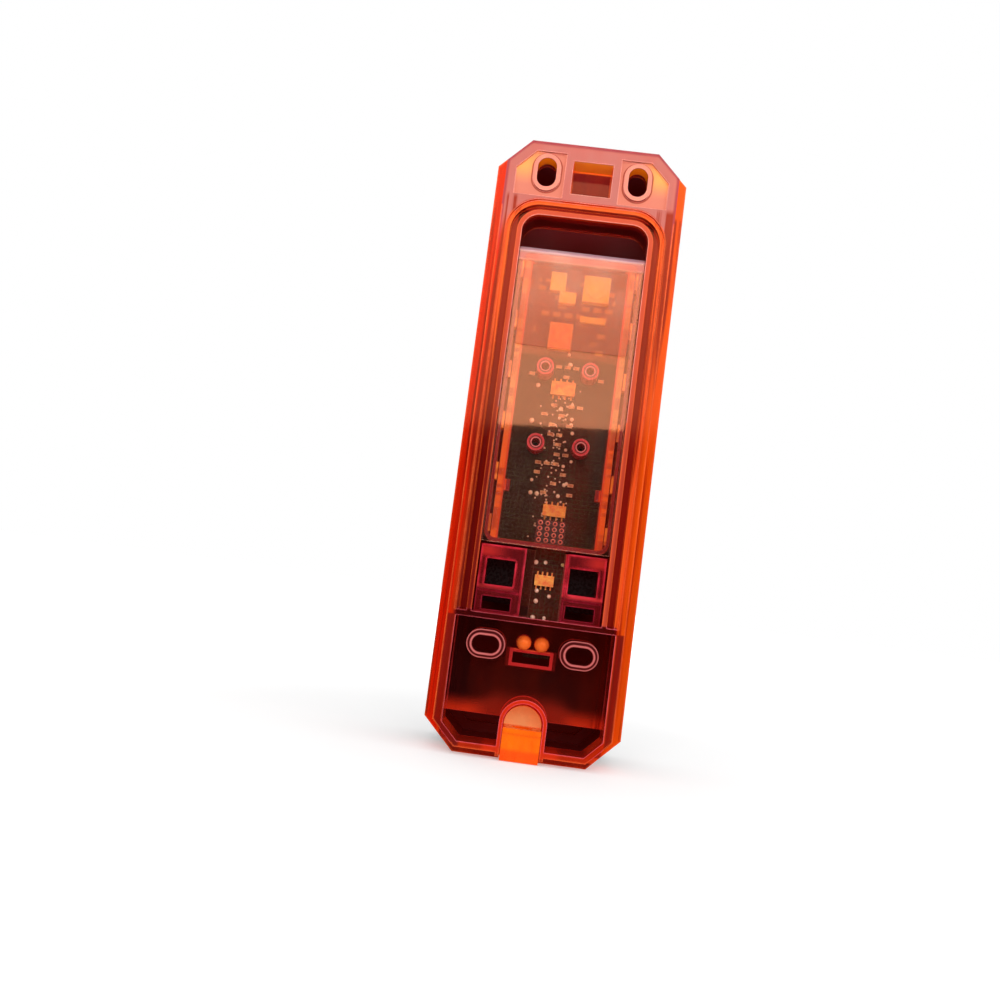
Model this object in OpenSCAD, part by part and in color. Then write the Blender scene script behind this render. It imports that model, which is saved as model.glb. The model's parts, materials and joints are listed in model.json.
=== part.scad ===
// Gate safety photocell, one unit of a facing pair. Millimetres, +Z up, the wall face on the plane
// y = 0 and the front towards -Y. The origin lies on the wall face, midway between the two lower
// fixing slots.
// Depths are measured from the wall face towards the front.

/* [Body] */
// Width of the flange and the front cover
body_w = 50; // [48:0.5:60]
// Length of the flange and the front cover
body_l = 161; // [158:0.5:180]
// Depth of the whole unit from the wall to the front face
body_d = 34; // [32:0.5:45]
// Leg of the flange's chamfered corners
body_cut = 8; // [5:0.5:12]
// Wall of the housing and the cover
wall = 2.2; // [1.8:0.1:2.6]
// Depth at which the flange ends and the cover begins
base_d = 12; // [11.5:0.5:14]

/* [Back plate] */
// How far the raised back plate stands in from the flange's sides
plate_in_w = 2.5; // [2:0.1:3.2]
// How far the back plate stands in from the flange's ends
plate_in_l = 2; // [1.5:0.1:3.5]
// How much shorter the back plate's chamfers are than the flange's
plate_cut_in = 2; // [0:0.5:4]
// Depth of the step from the back plate to the flange
plate_d = 4.8; // [3.5:0.1:6]
// Thickness of the back skin
skin = 2; // [1.5:0.1:2.5]

/* [Lower fixing slots] */
// Height of the lower slots above the back plate's lower edge
low_slot_rise = 26; // [24:0.5:30]
// Distance between the lower slots
low_slot_gap = 23.6; // [20:0.1:26]
// Length of a lower slot, end to end
low_slot_l = 6.8; // [5:0.1:7.6]
// Width of a lower slot
low_slot_w = 4.2; // [3.2:0.1:4.6]
// Wall of the collar round a lower slot
low_collar = 0.7; // [0.5:0.1:0.9]
// Shoulder between the collar and the outside of a lower boss
low_shoulder = 0.8; // [0.5:0.1:1]

/* [Upper fixing slots] */
// Distance of the upper slots below the back plate's top edge
top_slot_drop = 8.1; // [7:0.1:9]
// Distance between the upper slots
top_slot_gap = 23.8; // [21:0.1:26]
// Length of an upper slot, end to end
top_slot_l = 7.8; // [6:0.1:8.5]
// Width of an upper slot
top_slot_w = 5; // [4.2:0.1:5.4]
// Wall of the ring round an upper slot
top_ring = 1.05; // [0.8:0.05:1.2]
// Depth of an upper boss
top_boss_d = 6; // [4:0.5:8]

/* [Latch pocket] */
// Width of the latch pocket
pocket_w = 10.4; // [8:0.1:11]
// Height of the latch pocket
pocket_l = 8.9; // [7:0.1:9.5]
// Distance of the pocket below the back plate's top edge
pocket_drop = 4.3; // [3.8:0.1:5]
// Depth of the latch pocket
pocket_d = 6.5; // [5:0.1:8]
// Wall round the latch pocket
pocket_wall = 1.2; // [1:0.1:1.4]

/* [Window] */
// Land beside the window, from the back plate's edge
land_w = 6.1; // [5.9:0.1:6.2]
// Distance of the window below the back plate's top edge
window_drop = 19.6; // [19:0.1:21]
// Corner radius of the window
window_r = 4.5; // [3.5:0.1:5.5]
// Wall of the rim round the window
rim_wall = 1.3; // [1:0.1:1.4]
// Depth of the rim
rim_d = 10; // [8:0.5:10.5]
// Width of the groove's bottom
groove_w = 1.9; // [1.5:0.1:2]
// Depth of the groove
groove_d = 3; // [2.2:0.1:4]
// Thickness of the groove's bottom
groove_t = 1.6; // [1.2:0.1:2]
// Width of the step beside the groove
step_w = 1; // [0.6:0.1:1]
// Depth of the step beside the groove
step_d = 1.2; // [0.8:0.1:1.6]

/* [Wiring bay] */
// How far the bay stands in from the back plate's sides
bay_in = 2.4; // [2.3:0.1:3.5]
// Height of the bay's top edge above the lower slots
bay_rise = 6.3; // [6:0.1:7]
// Thickness of the bay's walls
bay_wall = 1.5; // [1.2:0.1:1.6]
// Depth of the bay's floor
bay_d = 8.6; // [7:0.1:9]
// Thickness of the bay's floor
bay_floor = 1.8; // [1.2:0.1:2]
// Height of the open cells below the floor
cell_h = 6.3; // [5:0.1:7]
// Diameter of the two locating pins
pin_dia = 3.8; // [3:0.1:4.4]
// Distance between the locating pins
pin_gap = 4.6; // [4.6:0.1:6]
// Width of the snap slot in the floor
snap_w = 9.6; // [9:0.1:12]
// Height of the snap slot in the floor
snap_h = 2.8; // [2:0.1:3]

/* [Cable entry] */
// Inner width of the entry arch
arch_w = 10; // [8:0.1:10.4]
// Wall of the entry arch
arch_wall = 1; // [0.8:0.1:1.1]
// Height of the arch's crown above the flange's lower edge
arch_h = 15.6; // [14:0.1:16]
// Depth of the arch's floor
arch_d = 9; // [7.5:0.1:9.2]

/* [Electronics module] */
// Gap between the module and the window's side
module_clear = 0.4; // [0.3:0.05:0.5]
// Room for the terminals between the window's lower edge and the module
terminal_room = 17.9; // [17:0.1:20]
// Open strip of the window above the module
module_gap = 8.6; // [7.5:0.1:10]
// Depth of the lid's outer face
lid_d = 2.2; // [1.6:0.1:2.6]
// Thickness of the lid
lid_t = 1.5; // [1:0.1:1.6]
// Distance from the unit's front face back to the tray
tray_back = 9; // [8:0.5:9.5]
// Height of the frosted film
film_l = 24.3; // [20:0.1:26]
// Depth of the main board's back face
board_d = 11; // [10.6:0.1:11.2]
// Thickness of the main board
board_t = 1.6; // [1.2:0.1:1.6]

/* [Optics] */
// Distance of the optical axis below the module's top
axis_drop = 40.1; // [39:0.1:44]
// Distance between the hollow posts, across
post_across = 11.7; // [11:0.1:13]
// Distance between the hollow posts, upright
post_upright = 20; // [19.6:0.1:21]
// Diameter of a hollow post
post_dia = 4.5; // [4:0.1:4.8]
// Diameter of the lens
lens_dia = 17.6; // [15:0.1:18]

/* [Terminals] */
// Distance between neighbouring terminals
pitch = 3.81; // [3.7:0.01:3.9]

/* [Hidden] */
$fn = 48;

// Overrun of every cut past the face that it opens
over = 0.5;
// Clearance between pieces that fit together
fit = 0.3;
// Running clearance of a screw
running = 0.05;

// Widths and heights of the plate, its window and its bay; heights are above the lower slots
plate_w = body_w - 2 * plate_in_w;
plate_l = body_l - 2 * plate_in_l;
plate_cut = body_cut - plate_cut_in;
window_w = plate_w - 2 * land_w;
bay_w = plate_w - 2 * bay_in;
plate_bottom = -low_slot_rise;
plate_top = plate_bottom + plate_l;
mid_z = (plate_top + plate_bottom) / 2;
body_bottom = mid_z - body_l / 2;
body_top = mid_z + body_l / 2;
top_slot_z = plate_top - top_slot_drop;
pocket_z = plate_top - pocket_drop - pocket_l / 2;
window_top = plate_top - window_drop;
window_bottom = bay_rise + bay_wall;
bay_bottom = plate_bottom + bay_wall;
floor_bottom = bay_bottom + cell_h;
arch_top = body_bottom + arch_h;

// Groove and land round the window
groove_out_w = window_w + 2 * (rim_wall + groove_w);
step_out_w = groove_out_w + 2 * step_w;
backing = 0.8;

// Thinned patches round the upper slots
patch_d = 0.9;
patch_edge = 2.6;
patch_foot = 0.8;
patch_cut = 4.9;

// Module
module_w = window_w - 2 * module_clear;
module_top = window_top - module_gap;
module_bottom = window_bottom + terminal_room;
module_l = module_top - module_bottom;
module_r = 3;
tray_skin = 0.8;
tray_end = 1.2;
tray_front = 1.4;
tray_d = body_d - tray_back;
rail_w = 1.9;
rail_in = 1.6;
rail_out_w = module_w - 2 * rail_in;
rail_gap = 0.65;
rail_d = lid_d + lid_t + rail_gap;
tab_l = 4.5;
tab_d = 3.5;
tab_rows = 6;
tab_first = 5;
tab_pitch = (module_l - 2 * tab_first) / (tab_rows - 1);
ear_w = 1.3;
ear_l = 3;
ear_row = 1;
film_t = 0.2;
film_inset = 1.2;
lid_bevel = 1;

// Main board: wide part, neck, ears and tongue
board_w = module_w - 2 * (tray_skin + fit);
board_front = board_d + board_t;
neck_w = 7.6;
neck_x = -1.6;
ears_in = 0.5;
ears_w = module_w - 2 * ears_in;
ears_top = module_bottom - fit;
ears_l = 15;
tongue_l = 13;

// The places of the parts on the board are given for a board and a tray of these sizes,
// and follow the real ones
board_drawn = 29.8;
inner_drawn = 74.7;
width_scale = board_w / board_drawn;
part_scale = (module_l - 2 * tray_end) / inner_drawn;
function down(drop) = module_top - tray_end - (drop - tray_end) * part_scale;
axis_rise = down(axis_drop);
post_gap_x = post_across * width_scale;
post_gap_z = post_upright * part_scale;

// Lens holder
holder_side = 2.65;
holder_end = 3;
holder_w = post_gap_x + 2 * holder_side;
holder_l = post_gap_z + 2 * holder_end;
holder_t = 1.4;
post_bore = 2.2;
post_d = lid_d + lid_t + fit;
tube_wall = 1;
tube_seat = 0.8;
tube_back = 6.5;
tube_d = body_d - tube_back;
lens_edge = 1.5;
lens_rise = 3.2;
lens_back = 10;
lens_seat_d = body_d - lens_back;
front_room = tray_d - tray_front - board_front;
diode_dia = 5;
diode_share = 0.45;
diode_d = diode_share * front_room;

// Terminals
supply_ways = 2;
relay_ways = 3;
block_h = 10.5;
block_d = 10;
block_drop = 2.2;
block_z = ears_top - block_drop - block_h / 2;
block_edge = 0.3;
block_in = 1;
block_x = module_w / 2 - block_in;
well_r = 1.35;
head_t = 1.4;
head_drop = 0.6;
shank_r = 0.9;
drive_w = 0.5;
drive_d = 0.5;
clamp_w = 2.8;
clamp_h = 4;
clamp_d = 4.7;
clamp_wall = 0.9;
clamp_top = 1.4;
entry_w = 2.6;
entry_d = 3.4;
pin_r = 0.45;
pin_stub = 1;

// Small parts
seal_w = 1.2;
seal_t = 1.3;
rebate_gap = 0.1;
cover_front = 2;
cover_bevel = 2.5;
panel_in_w = 7;
panel_in_l = 24.5;
panel_w = body_w - 2 * panel_in_w;
panel_l = body_l - 2 * panel_in_l;
panel_d = 0.5;
panel_r = 6;
tab_t = 1.4;
cover_tab_w = 12;
cover_tab_d = bay_d + bay_floor + fit;
cover_tab_out = 4;
front_edge = 0.1;

housing_colour = [0.93, 0.36, 0.2];
crimson_colour = [0.75, 0.12, 0.16];
dark_colour = [0.1, 0.05, 0.05];
tray_colour = [0.95, 0.5, 0.25];
board_colour = [0.12, 0.2, 0.12];
tin_colour = [0.78, 0.76, 0.72];
brass_colour = [0.8, 0.66, 0.35];

// Extrudes an outline drawn in X and Z from one depth to another
module slab(d0, d1) {
    rotate([90, 0, 0]) translate([0, 0, d0]) linear_extrude(height = d1 - d0) children();
}

// A round bar along the depth
module bar(x, z, r, d0, d1) {
    translate([x, 0, z]) rotate([90, 0, 0]) translate([0, 0, d0]) cylinder(r = r, h = d1 - d0);
}

// A block between two depths, centred on x, from z0 up to z1
module block(x, w, z0, z1, d0, d1) {
    translate([x - w / 2, -d1, z0]) cube([w, d1 - d0, z1 - z0]);
}

// A rectangle with four chamfered corners, centred on the body
module cut_outline(w, l, cut) {
    a = w / 2;
    b = l / 2;
    translate([0, mid_z])
        polygon([[cut - a, -b], [a - cut, -b], [a, cut - b], [a, b - cut],
            [a - cut, b], [cut - a, b], [-a, b - cut], [-a, cut - b]]);
}

// The flange's outline drawn in by a given width, with its chamfers parallel
module body_outline(inset = 0) {
    cut_outline(body_w - 2 * inset, body_l - 2 * inset, body_cut - inset * (2 - sqrt(2)));
}

module plate_outline(inset = 0) {
    cut_outline(plate_w - 2 * inset, plate_l - 2 * inset, plate_cut - inset * (2 - sqrt(2)));
}

// A rectangle from z0 to z1 with rounded corners at the top, and at the bottom too if asked
module rounded(w, z0, z1, r, both = true) {
    low = both ? z0 + r : z0;
    translate([-w / 2, low]) square([w, z1 - r - low]);
    translate([r - w / 2, z0]) square([w - 2 * r, z1 - z0]);
    for (s = [-1, 1]) {
        translate([s * (w / 2 - r), z1 - r]) circle(r);
        if (both) translate([s * (w / 2 - r), z0 + r]) circle(r);
    }
}

// The outline of a slot, l long along X
module slot_outline(l, w) {
    square([l - w, w], center = true);
    for (s = [-1, 1]) translate([s * (l - w) / 2, 0]) circle(w / 2);
}

module low_slots(grow) {
    for (s = [-1, 1]) translate([s * low_slot_gap / 2, 0]) slot_outline(low_slot_l + 2 * grow,
        low_slot_w + 2 * grow);
}

module top_slots(grow) {
    for (s = [-1, 1]) translate([s * top_slot_gap / 2, top_slot_z]) rotate(90)
        slot_outline(top_slot_l + 2 * grow, top_slot_w + 2 * grow);
}

// The window's outline, grown by a given width
module window_outline(grow, foot = 0) {
    rounded(window_w + 2 * grow, window_bottom - foot, window_top + grow, window_r + grow, false);
}

// The wiring bay's outline with its lower corners chamfered like the plate's
module bay_outline(grow) {
    intersection() {
        translate([-bay_w / 2 - grow, bay_bottom - grow]) square([bay_w + 2 * grow,
            bay_rise - bay_bottom + 2 * grow]);
        plate_outline(bay_wall - grow);
    }
}

// The cable arch's outline with the crown at the top
module arch_outline(grow) {
    r = arch_w / 2 + grow;
    crown = arch_top - arch_w / 2 - arch_wall;
    translate([-r, body_bottom - over]) square([2 * r, crown - body_bottom + over]);
    translate([0, crown]) circle(r);
}

module patch_outline() {
    x0 = pocket_w / 2 + pocket_wall + patch_foot;
    x1 = plate_w / 2 - patch_edge;
    z0 = window_top + rim_wall + groove_w + step_w + patch_foot;
    z1 = plate_top - patch_edge;
    for (s = [-1, 1]) scale([s, 1])
        polygon([[x0, z0], [x1, z0], [x1, z1 - patch_cut], [x1 - patch_cut, z1], [x0, z1]]);
}

// Clear back housing
module base_housing() color(housing_colour) {
    difference() {
        union() {
            difference() {
                union() {
                    slab(0, plate_d) plate_outline();
                    slab(plate_d, base_d) body_outline();
                }
                slab(plate_d + skin, base_d + over) body_outline(wall);
                slab(skin, plate_d + skin + over) plate_outline(wall);
                slab(-over, patch_d) patch_outline();
                slab(-over, skin + over) window_outline(rim_wall + groove_w + step_w);
            }
            // upper bosses and latch pocket
            slab(0, top_boss_d) top_slots(top_ring);
            block(0, pocket_w + 2 * pocket_wall, pocket_z - pocket_l / 2 - pocket_wall,
                pocket_z + pocket_l / 2 + pocket_wall, 0, pocket_d + pocket_wall);
            // groove round the window: outer wall, bottom and inner rim
            slab(step_d, groove_d + groove_t) difference() {
                window_outline(rim_wall + groove_w + step_w + backing);
                window_outline(rim_wall + groove_w);
            }
            slab(groove_d, groove_d + groove_t) difference() {
                window_outline(rim_wall + groove_w + step_w);
                window_outline(0, over);
            }
            slab(0, rim_d) difference() {
                window_outline(rim_wall);
                window_outline(0, over);
            }
            // wiring bay: walls and floor
            slab(0, bay_d + bay_floor) bay_outline(bay_wall);
            slab(0, bay_d + bay_floor) arch_body();
        }
        slab(-over, bay_d) difference() {
            bay_outline(0);
            low_slots(low_collar + low_shoulder);
            arch_body();
        }
        // collars on the lower bosses
        slab(-over, step_d) difference() {
            low_slots(low_collar + low_shoulder + over);
            low_slots(low_collar);
        }
        // open cells below the floor
        slab(-over, bay_d + bay_floor + over) difference() {
            bay_outline(0);
            translate([-bay_w, floor_bottom]) square([2 * bay_w, bay_rise - floor_bottom]);
            arch_body();
        }
        // window, slots, pocket and cable entry
        slab(-over, rim_d + over) window_outline(0);
        slab(-over, bay_d + bay_floor + over) low_slots(0);
        slab(-over, top_boss_d + over) top_slots(0);
        block(0, pocket_w, pocket_z - pocket_l / 2, pocket_z + pocket_l / 2, -over, pocket_d);
        slab(-over, arch_d) arch_outline(0);
        slab(-over, bay_d + bay_floor + over) snap_outline(0);
    }
    locating_pins();
    snap_frame();
}

// What stands round the cable arch, inside the flange
module arch_body() {
    intersection() {
        arch_outline(arch_wall);
        body_outline(wall / 2);
    }
}

module snap_outline(grow) {
    z = -low_slot_w / 2 - snap_h / 2 + bay_wall / 2;
    translate([-snap_w / 2 - grow, z - snap_h / 2 - grow]) square([snap_w + 2 * grow, snap_h + 2 * grow]);
}

module snap_frame() {
    slab(bay_d - step_d, bay_d + bay_floor) difference() {
        snap_outline(backing);
        snap_outline(0);
    }
}

// Two domed pins above the snap slot
module locating_pins() {
    for (s = [-1, 1]) {
        x = s * pin_gap / 2;
        bar(x, step_d, pin_dia / 2, bay_d - pin_dia / 2, bay_d + bay_floor);
        translate([x, pin_dia / 2 - bay_d, step_d]) sphere(pin_dia / 2);
    }
}

// Rubber seal between the flange and the cover
module cover_seal() color([0.3, 0.1, 0.07])
    slab(base_d, base_d + seal_t) difference() {
        body_outline(wall - seal_w);
        body_outline(wall);
    }

// Dark front cover
module front_cover() color(dark_colour) {
    difference() {
        union() {
            slab(base_d, body_d - cover_bevel) body_outline();
            hull() {
                slab(body_d - cover_bevel - over, body_d - cover_bevel) body_outline();
                slab(body_d - front_edge, body_d) body_outline(cover_bevel);
            }
        }
        slab(base_d - over, body_d - cover_front - cover_bevel) body_outline(wall);
        slab(base_d, body_d - cover_front) body_outline(wall + cover_bevel);
        slab(base_d - over, base_d + seal_t + rebate_gap) body_outline(wall - seal_w - rebate_gap);
        slab(body_d - panel_d, body_d + over) rounded(panel_w, mid_z - panel_l / 2, mid_z + panel_l / 2,
            panel_r);
    }
    cover_tabs();
}

// Tabs that locate the cover inside the flange: one at each end and two on each side
module cover_tabs() {
    inner_w = body_w / 2 - wall;
    inner_l = body_l / 2 - wall;
    root_d = base_d + seal_t + 2 * rebate_gap;
    for (s = [-1, 1]) {
        translate([0, 0, mid_z]) end_tab(s, inner_l, root_d);
        for (t = [-1, 1]) translate([0, 0, mid_z + t * body_l / 4]) side_tab(s, inner_w, root_d);
    }
}

module end_tab(s, inner, root_d) {
    scale([1, 1, s]) {
        block(0, cover_tab_w, inner - fit - tab_t, inner - fit, cover_tab_d, base_d + cover_tab_out);
        block(0, cover_tab_w, inner - fit - tab_t, inner + rebate_gap, root_d, base_d + cover_tab_out);
    }
}

module side_tab(s, inner, root_d) {
    scale([s, 1, 1]) rotate([0, 90, 0]) {
        block(0, cover_tab_w, inner - fit - tab_t, inner - fit, cover_tab_d, base_d + cover_tab_out);
        block(0, cover_tab_w, inner - fit - tab_t, inner + rebate_gap, root_d, base_d + cover_tab_out);
    }
}

// Soft plug in the cable entry, with a thin membrane to cut for the cable and a pad on the arch's floor
plug_l = 8.1;
pad_drop = 1.1;
membrane_t = 1.1;
module cable_grommet() color([1, 0.55, 0.15]) {
    plug_bottom = body_bottom + fit / 2;
    plug_top = plug_bottom + plug_l;
    difference() {
        union() {
            slab(fit, arch_d - fit) grommet_outline(0, plug_bottom, plug_top);
            slab(arch_d - fit - bay_wall, arch_d - fit) grommet_outline(pad_drop, plug_top - over,
                arch_top);
        }
        grommet_bore(body_bottom - over, plate_bottom);
        grommet_bore(plate_bottom + membrane_t, plug_top + over);
    }
}

module grommet_outline(drop, z0, z1) {
    intersection() {
        translate([0, -drop]) arch_outline(-fit / 2);
        translate([-arch_w, z0]) square([2 * arch_w, z1 - z0]);
    }
}

module grommet_bore(z0, z1) {
    translate([0, -arch_d / 2, z0]) cylinder(d = arch_d - 2 * fit - 2 * bay_wall, h = z1 - z0);
}

// Tray of the sealed module: skin, rails with tabs, end walls and front wall
module module_tray() color(tray_colour) {
    inner_z0 = module_bottom + tray_end;
    inner_z1 = module_top - tray_end;
    difference() {
        union() {
            slab(lid_d + lid_t, tray_d) difference() {
                rounded(module_w, module_bottom, module_top, module_r);
                rounded(module_w - 2 * tray_skin, inner_z0, inner_z1, module_r - tray_skin);
            }
            slab(tray_d - tray_front, tray_d) rounded(module_w, module_bottom, module_top, module_r);
            for (s = [-1, 1]) {
                block(s * (rail_out_w - rail_w) / 2, rail_w, inner_z0 - running, inner_z1 + running,
                    rail_d, board_d);
                for (i = [0 : tab_rows - 1])
                    tray_tab(s * (rail_out_w + module_w) / 4, module_top - tab_first - i * tab_pitch);
                block(s * (rail_out_w / 2 - rail_w - ear_w / 2), ear_w,
                    module_bottom + tab_first + ear_row * tab_pitch - ear_l - ear_l / 2,
                    module_bottom + tab_first + ear_row * tab_pitch - ear_l / 2, rail_d + tab_d, board_d);
            }
        }
        bar(0, axis_rise, lens_dia / 2 + tube_wall + fit, tray_d - tray_front - over, tray_d + over);
        block(neck_x, neck_w + 2 * fit, module_bottom - over, inner_z0 + over, board_d - fit,
            board_front + fit);
    }
}

module tray_tab(x, z) {
    block(x, (module_w - rail_out_w) / 2 - tray_skin / 2, z - tab_l / 2, z + tab_l / 2, rail_d,
        rail_d + tab_d);
}

// Glossy clear lid, with a bevel along its top edge
module module_lid() color([0.98, 0.72, 0.6])
    difference() {
        slab(lid_d, lid_d + lid_t) rounded(module_w, module_bottom, module_top, module_r);
        translate([0, -lid_d, module_top]) rotate([45, 0, 0])
            cube([2 * module_w, lid_bevel * sqrt(2), lid_bevel * sqrt(2)], center = true);
    }

// Frosted film on the lid's upper third
module frosted_film() color([0.98, 0.8, 0.7])
    slab(lid_d - film_t, lid_d)
        rounded(module_w - 2 * film_inset, module_top - film_inset - film_l, module_top - film_inset,
            film_inset);

// Crimson cages over the terminals
frame_d = 3.4;
frame_back = 8.8;
frame_web = 1.4;
frame_top = module_bottom - fit - fit;
frame_low = window_bottom;
frame_w = window_w - 2 * fit;
cage_in = 14;
cage_wall = 1.8;
cage_w = (frame_w - cage_in) / 2 - cage_wall;
cage_h = 6.6;
cage_drop = 3.6;
box_h = 3.3;
box_drop = 13.2;
throat_w = 10.6;
module terminal_frame() color(crimson_colour)
    difference() {
        block(0, frame_w, frame_low, frame_top, frame_d, frame_back);
        block(neck_x / 2, throat_w, frame_low - over, frame_top + over, frame_d - over,
            frame_back - frame_web);
        block(neck_x, neck_w, frame_low - over, frame_top + over, frame_d - over, frame_back + over);
        for (s = [-1, 1]) {
            block(s * (cage_in + cage_w) / 2, cage_w, frame_top - cage_drop - cage_h, frame_top - cage_drop,
                frame_d - over, frame_back + over);
            block(s * (cage_in + cage_w) / 2, cage_w, frame_top - box_drop - box_h, frame_top - box_drop,
                frame_d - over, frame_back + over);
            // the middle of each cage stands back behind its bars
            block(s * (cage_in + cage_w) / 2, cage_w + 2 * frame_web, frame_top - box_drop + frame_web,
                frame_top - cage_drop - cage_h - frame_web, frame_d - over, frame_d + 2 * frame_web);
        }
    }

// Main board: wide part in the tray, neck, ears under the terminals, and tongue
module main_board() color(board_colour)
    difference() {
        union() {
            slab(board_d, board_front)
                rounded(board_w, module_bottom + tray_end + fit, module_top - tray_end - fit,
                    module_r - tray_skin);
            block(neck_x, neck_w, ears_top - ears_l - tongue_l, module_bottom + tray_end + 2 * fit,
                board_d, board_front);
            block(0, ears_w, ears_top - ears_l, ears_top, board_d, board_front);
        }
        for (s = [-1, 1], t = [-1, 1])
            bar(s * post_gap_x / 2, axis_rise + t * post_gap_z / 2, post_dia / 2 + 2 * running,
                board_d - over, board_front + over);
        for (x = concat(supply_x, relay_x))
            bar(x, block_z + block_h / 2 - 2 * pin_r, pin_r + running, board_d - over, board_front + over);
    }

// Lens holder: plate, tube with the lens seat, and four hollow posts through the board
module lens_holder() color([0.16, 0.1, 0.1])
    difference() {
        union() {
            block(0, holder_w, axis_rise - holder_l / 2, axis_rise + holder_l / 2, board_front,
                board_front + holder_t);
            bar(0, axis_rise, lens_dia / 2 + tube_wall, board_front + holder_t - running, tube_d);
            for (s = [-1, 1], t = [-1, 1])
                bar(s * post_gap_x / 2, axis_rise + t * post_gap_z / 2, post_dia / 2, post_d,
                    board_front + running);
        }
        bar(0, axis_rise, lens_dia / 2 - tube_seat, board_front + holder_t, tube_d + over);
        bar(0, axis_rise, lens_dia / 2 + running, lens_seat_d, tube_d + over);
        bar(0, axis_rise, diode_dia / 2 + fit, board_front - over, board_front + holder_t + over);
        for (s = [-1, 1], t = [-1, 1])
            bar(s * post_gap_x / 2, axis_rise + t * post_gap_z / 2, post_bore / 2, post_d - over,
                board_front);
    }

// Plano-convex lens, its dome towards the front
module lens() color([0.75, 0.85, 0.95]) {
    r = lens_dia / 2;
    dome_r = (r * r + lens_rise * lens_rise) / (2 * lens_rise);
    bar(0, axis_rise, r, lens_seat_d, lens_seat_d + lens_edge);
    intersection() {
        translate([0, dome_r - lens_rise - lens_seat_d - lens_edge, axis_rise]) sphere(dome_r, $fn = 96);
        bar(0, axis_rise, r, lens_seat_d + lens_edge / 2, lens_seat_d + lens_edge + lens_rise + over);
    }
}

module infrared_diode() color([0.2, 0.12, 0.25])
    domed_lamp(0, axis_rise, diode_dia, diode_d);

// A round lamp with a domed end on the board's front side
module domed_lamp(x, z, dia, d) {
    bar(x, z, dia / 2, board_front, board_front + d);
    translate([x, -board_front - d, z]) sphere(dia / 2);
}

status_x = 8;
status_drop = 65.1;
status_dia = 3;
status_share = 0.36;
module status_light() color([0.85, 0.25, 0.2])
    domed_lamp(status_x, down(status_drop), status_dia, status_share * front_room);

relay_w = 15;
relay_l = 10;
relay_gap = 1;
relay_drop = 14;
module output_relay() color([0.15, 0.3, 0.55])
    block(0, relay_w, down(relay_drop) - relay_l / 2, down(relay_drop) + relay_l / 2,
        board_front, board_front + front_room - relay_gap);

// A part on the board's back side: its centre across, its distance below the module's top, its size
// and height
module back_part(x, drop, w, l, h) {
    block(x * width_scale, w * width_scale, down(drop + l / 2), down(drop - l / 2), board_d - h, board_d);
}

inductor_at = [-5, 7.2];
inductor_w = 7;
inductor_h = 3;
coil_r = 2.6;
coil_h = 0.5;
module power_inductor() color([0.9, 0.7, 0.5]) {
    back_part(inductor_at.x, inductor_at.y, inductor_w, inductor_w, inductor_h);
    bar(inductor_at.x * width_scale, down(inductor_at.y), coil_r, board_d - inductor_h - coil_h,
        board_d - inductor_h);
}

capacitor_at = [[5.3, 6], [2.4, 10.1]];
capacitor_size = [[4.1, 5], [4.4, 3]];
capacitor_h = 2.4;
module smoothing_capacitors() color([0.95, 0.75, 0.35])
    for (i = [0 : len(capacitor_at) - 1])
        back_part(capacitor_at[i].x, capacitor_at[i].y, capacitor_size[i].x, capacitor_size[i].y,
            capacitor_h);

rectifier_at = [-5, 15.2];
rectifier_w = 6.8;
rectifier_l = 1.6;
rectifier_h = 1.6;
module rectifier() color([0.95, 0.7, 0.6])
    back_part(rectifier_at.x, rectifier_at.y, rectifier_w, rectifier_l, rectifier_h);

regulator_at = [3, 20.6];
regulator_w = 6.2;
regulator_l = 7.2;
regulator_h = 2.2;
module voltage_regulator() color([0.95, 0.6, 0.3])
    back_part(regulator_at.x, regulator_at.y, regulator_w, regulator_l, regulator_h);

// A flat chip with leads along its two long sides
chip_h = 1.5;
lead_w = 0.4;
lead_out = 0.9;
lead_t = 0.25;
leads = 4;
module chip(x, drop, w, l) {
    back_part(x, drop, w, l, chip_h);
    step = w / leads;
    for (s = [-1, 1], i = [0 : leads - 1])
        back_part(x - w / 2 + step * (i + 1 / 2), drop + s * (l + lead_out) / 2, lead_w,
            lead_out + running, lead_t);
}

control_at = [0.5, 34.3];
control_w = 6.4;
control_l = 3.6;
module control_chip() color([0.9, 0.45, 0.15]) chip(control_at.x, control_at.y, control_w, control_l);

driver_at = [-1.2, 66.8];
driver_w = 6;
driver_l = 3;
module driver_chip() color([0.9, 0.4, 0.12]) chip(driver_at.x, driver_at.y, driver_w, driver_l);

tongue_at = [-0.9, 85.2];
tongue_chip_w = 5;
tongue_chip_l = 2.8;
module tongue_chip() color([0.85, 0.35, 0.12]) chip(tongue_at.x, tongue_at.y, tongue_chip_w, tongue_chip_l);

// Resistors and capacitors down the middle, as steps across and down a placing grid
passive_grid = [2.3, 2.6];
passive_top = 28.4;
passive_w = 1.6;
passive_l = 0.85;
passive_h = 0.6;
passive_steps = [[-1, 0], [0, 0], [1, 0], [-4, 1], [0, 1], [4, 1], [1, 4], [-1, 4], [-2, 4], [0, 5], [2, 5],
    [-1, 6], [1, 6], [0, 7], [1, 7], [0, 8], [-1, 9], [0, 9], [0, 10], [1, 10], [2, 10], [-1, 11], [2, 11],
    [0, 12], [-2, 12], [-2, 13], [1, 13]];
module small_passives() color([0.85, 0.6, 0.4])
    for (p = passive_steps)
        back_part(p.x * passive_grid.x, passive_top + p.y * passive_grid.y, passive_w, passive_l,
            passive_h);

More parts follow.
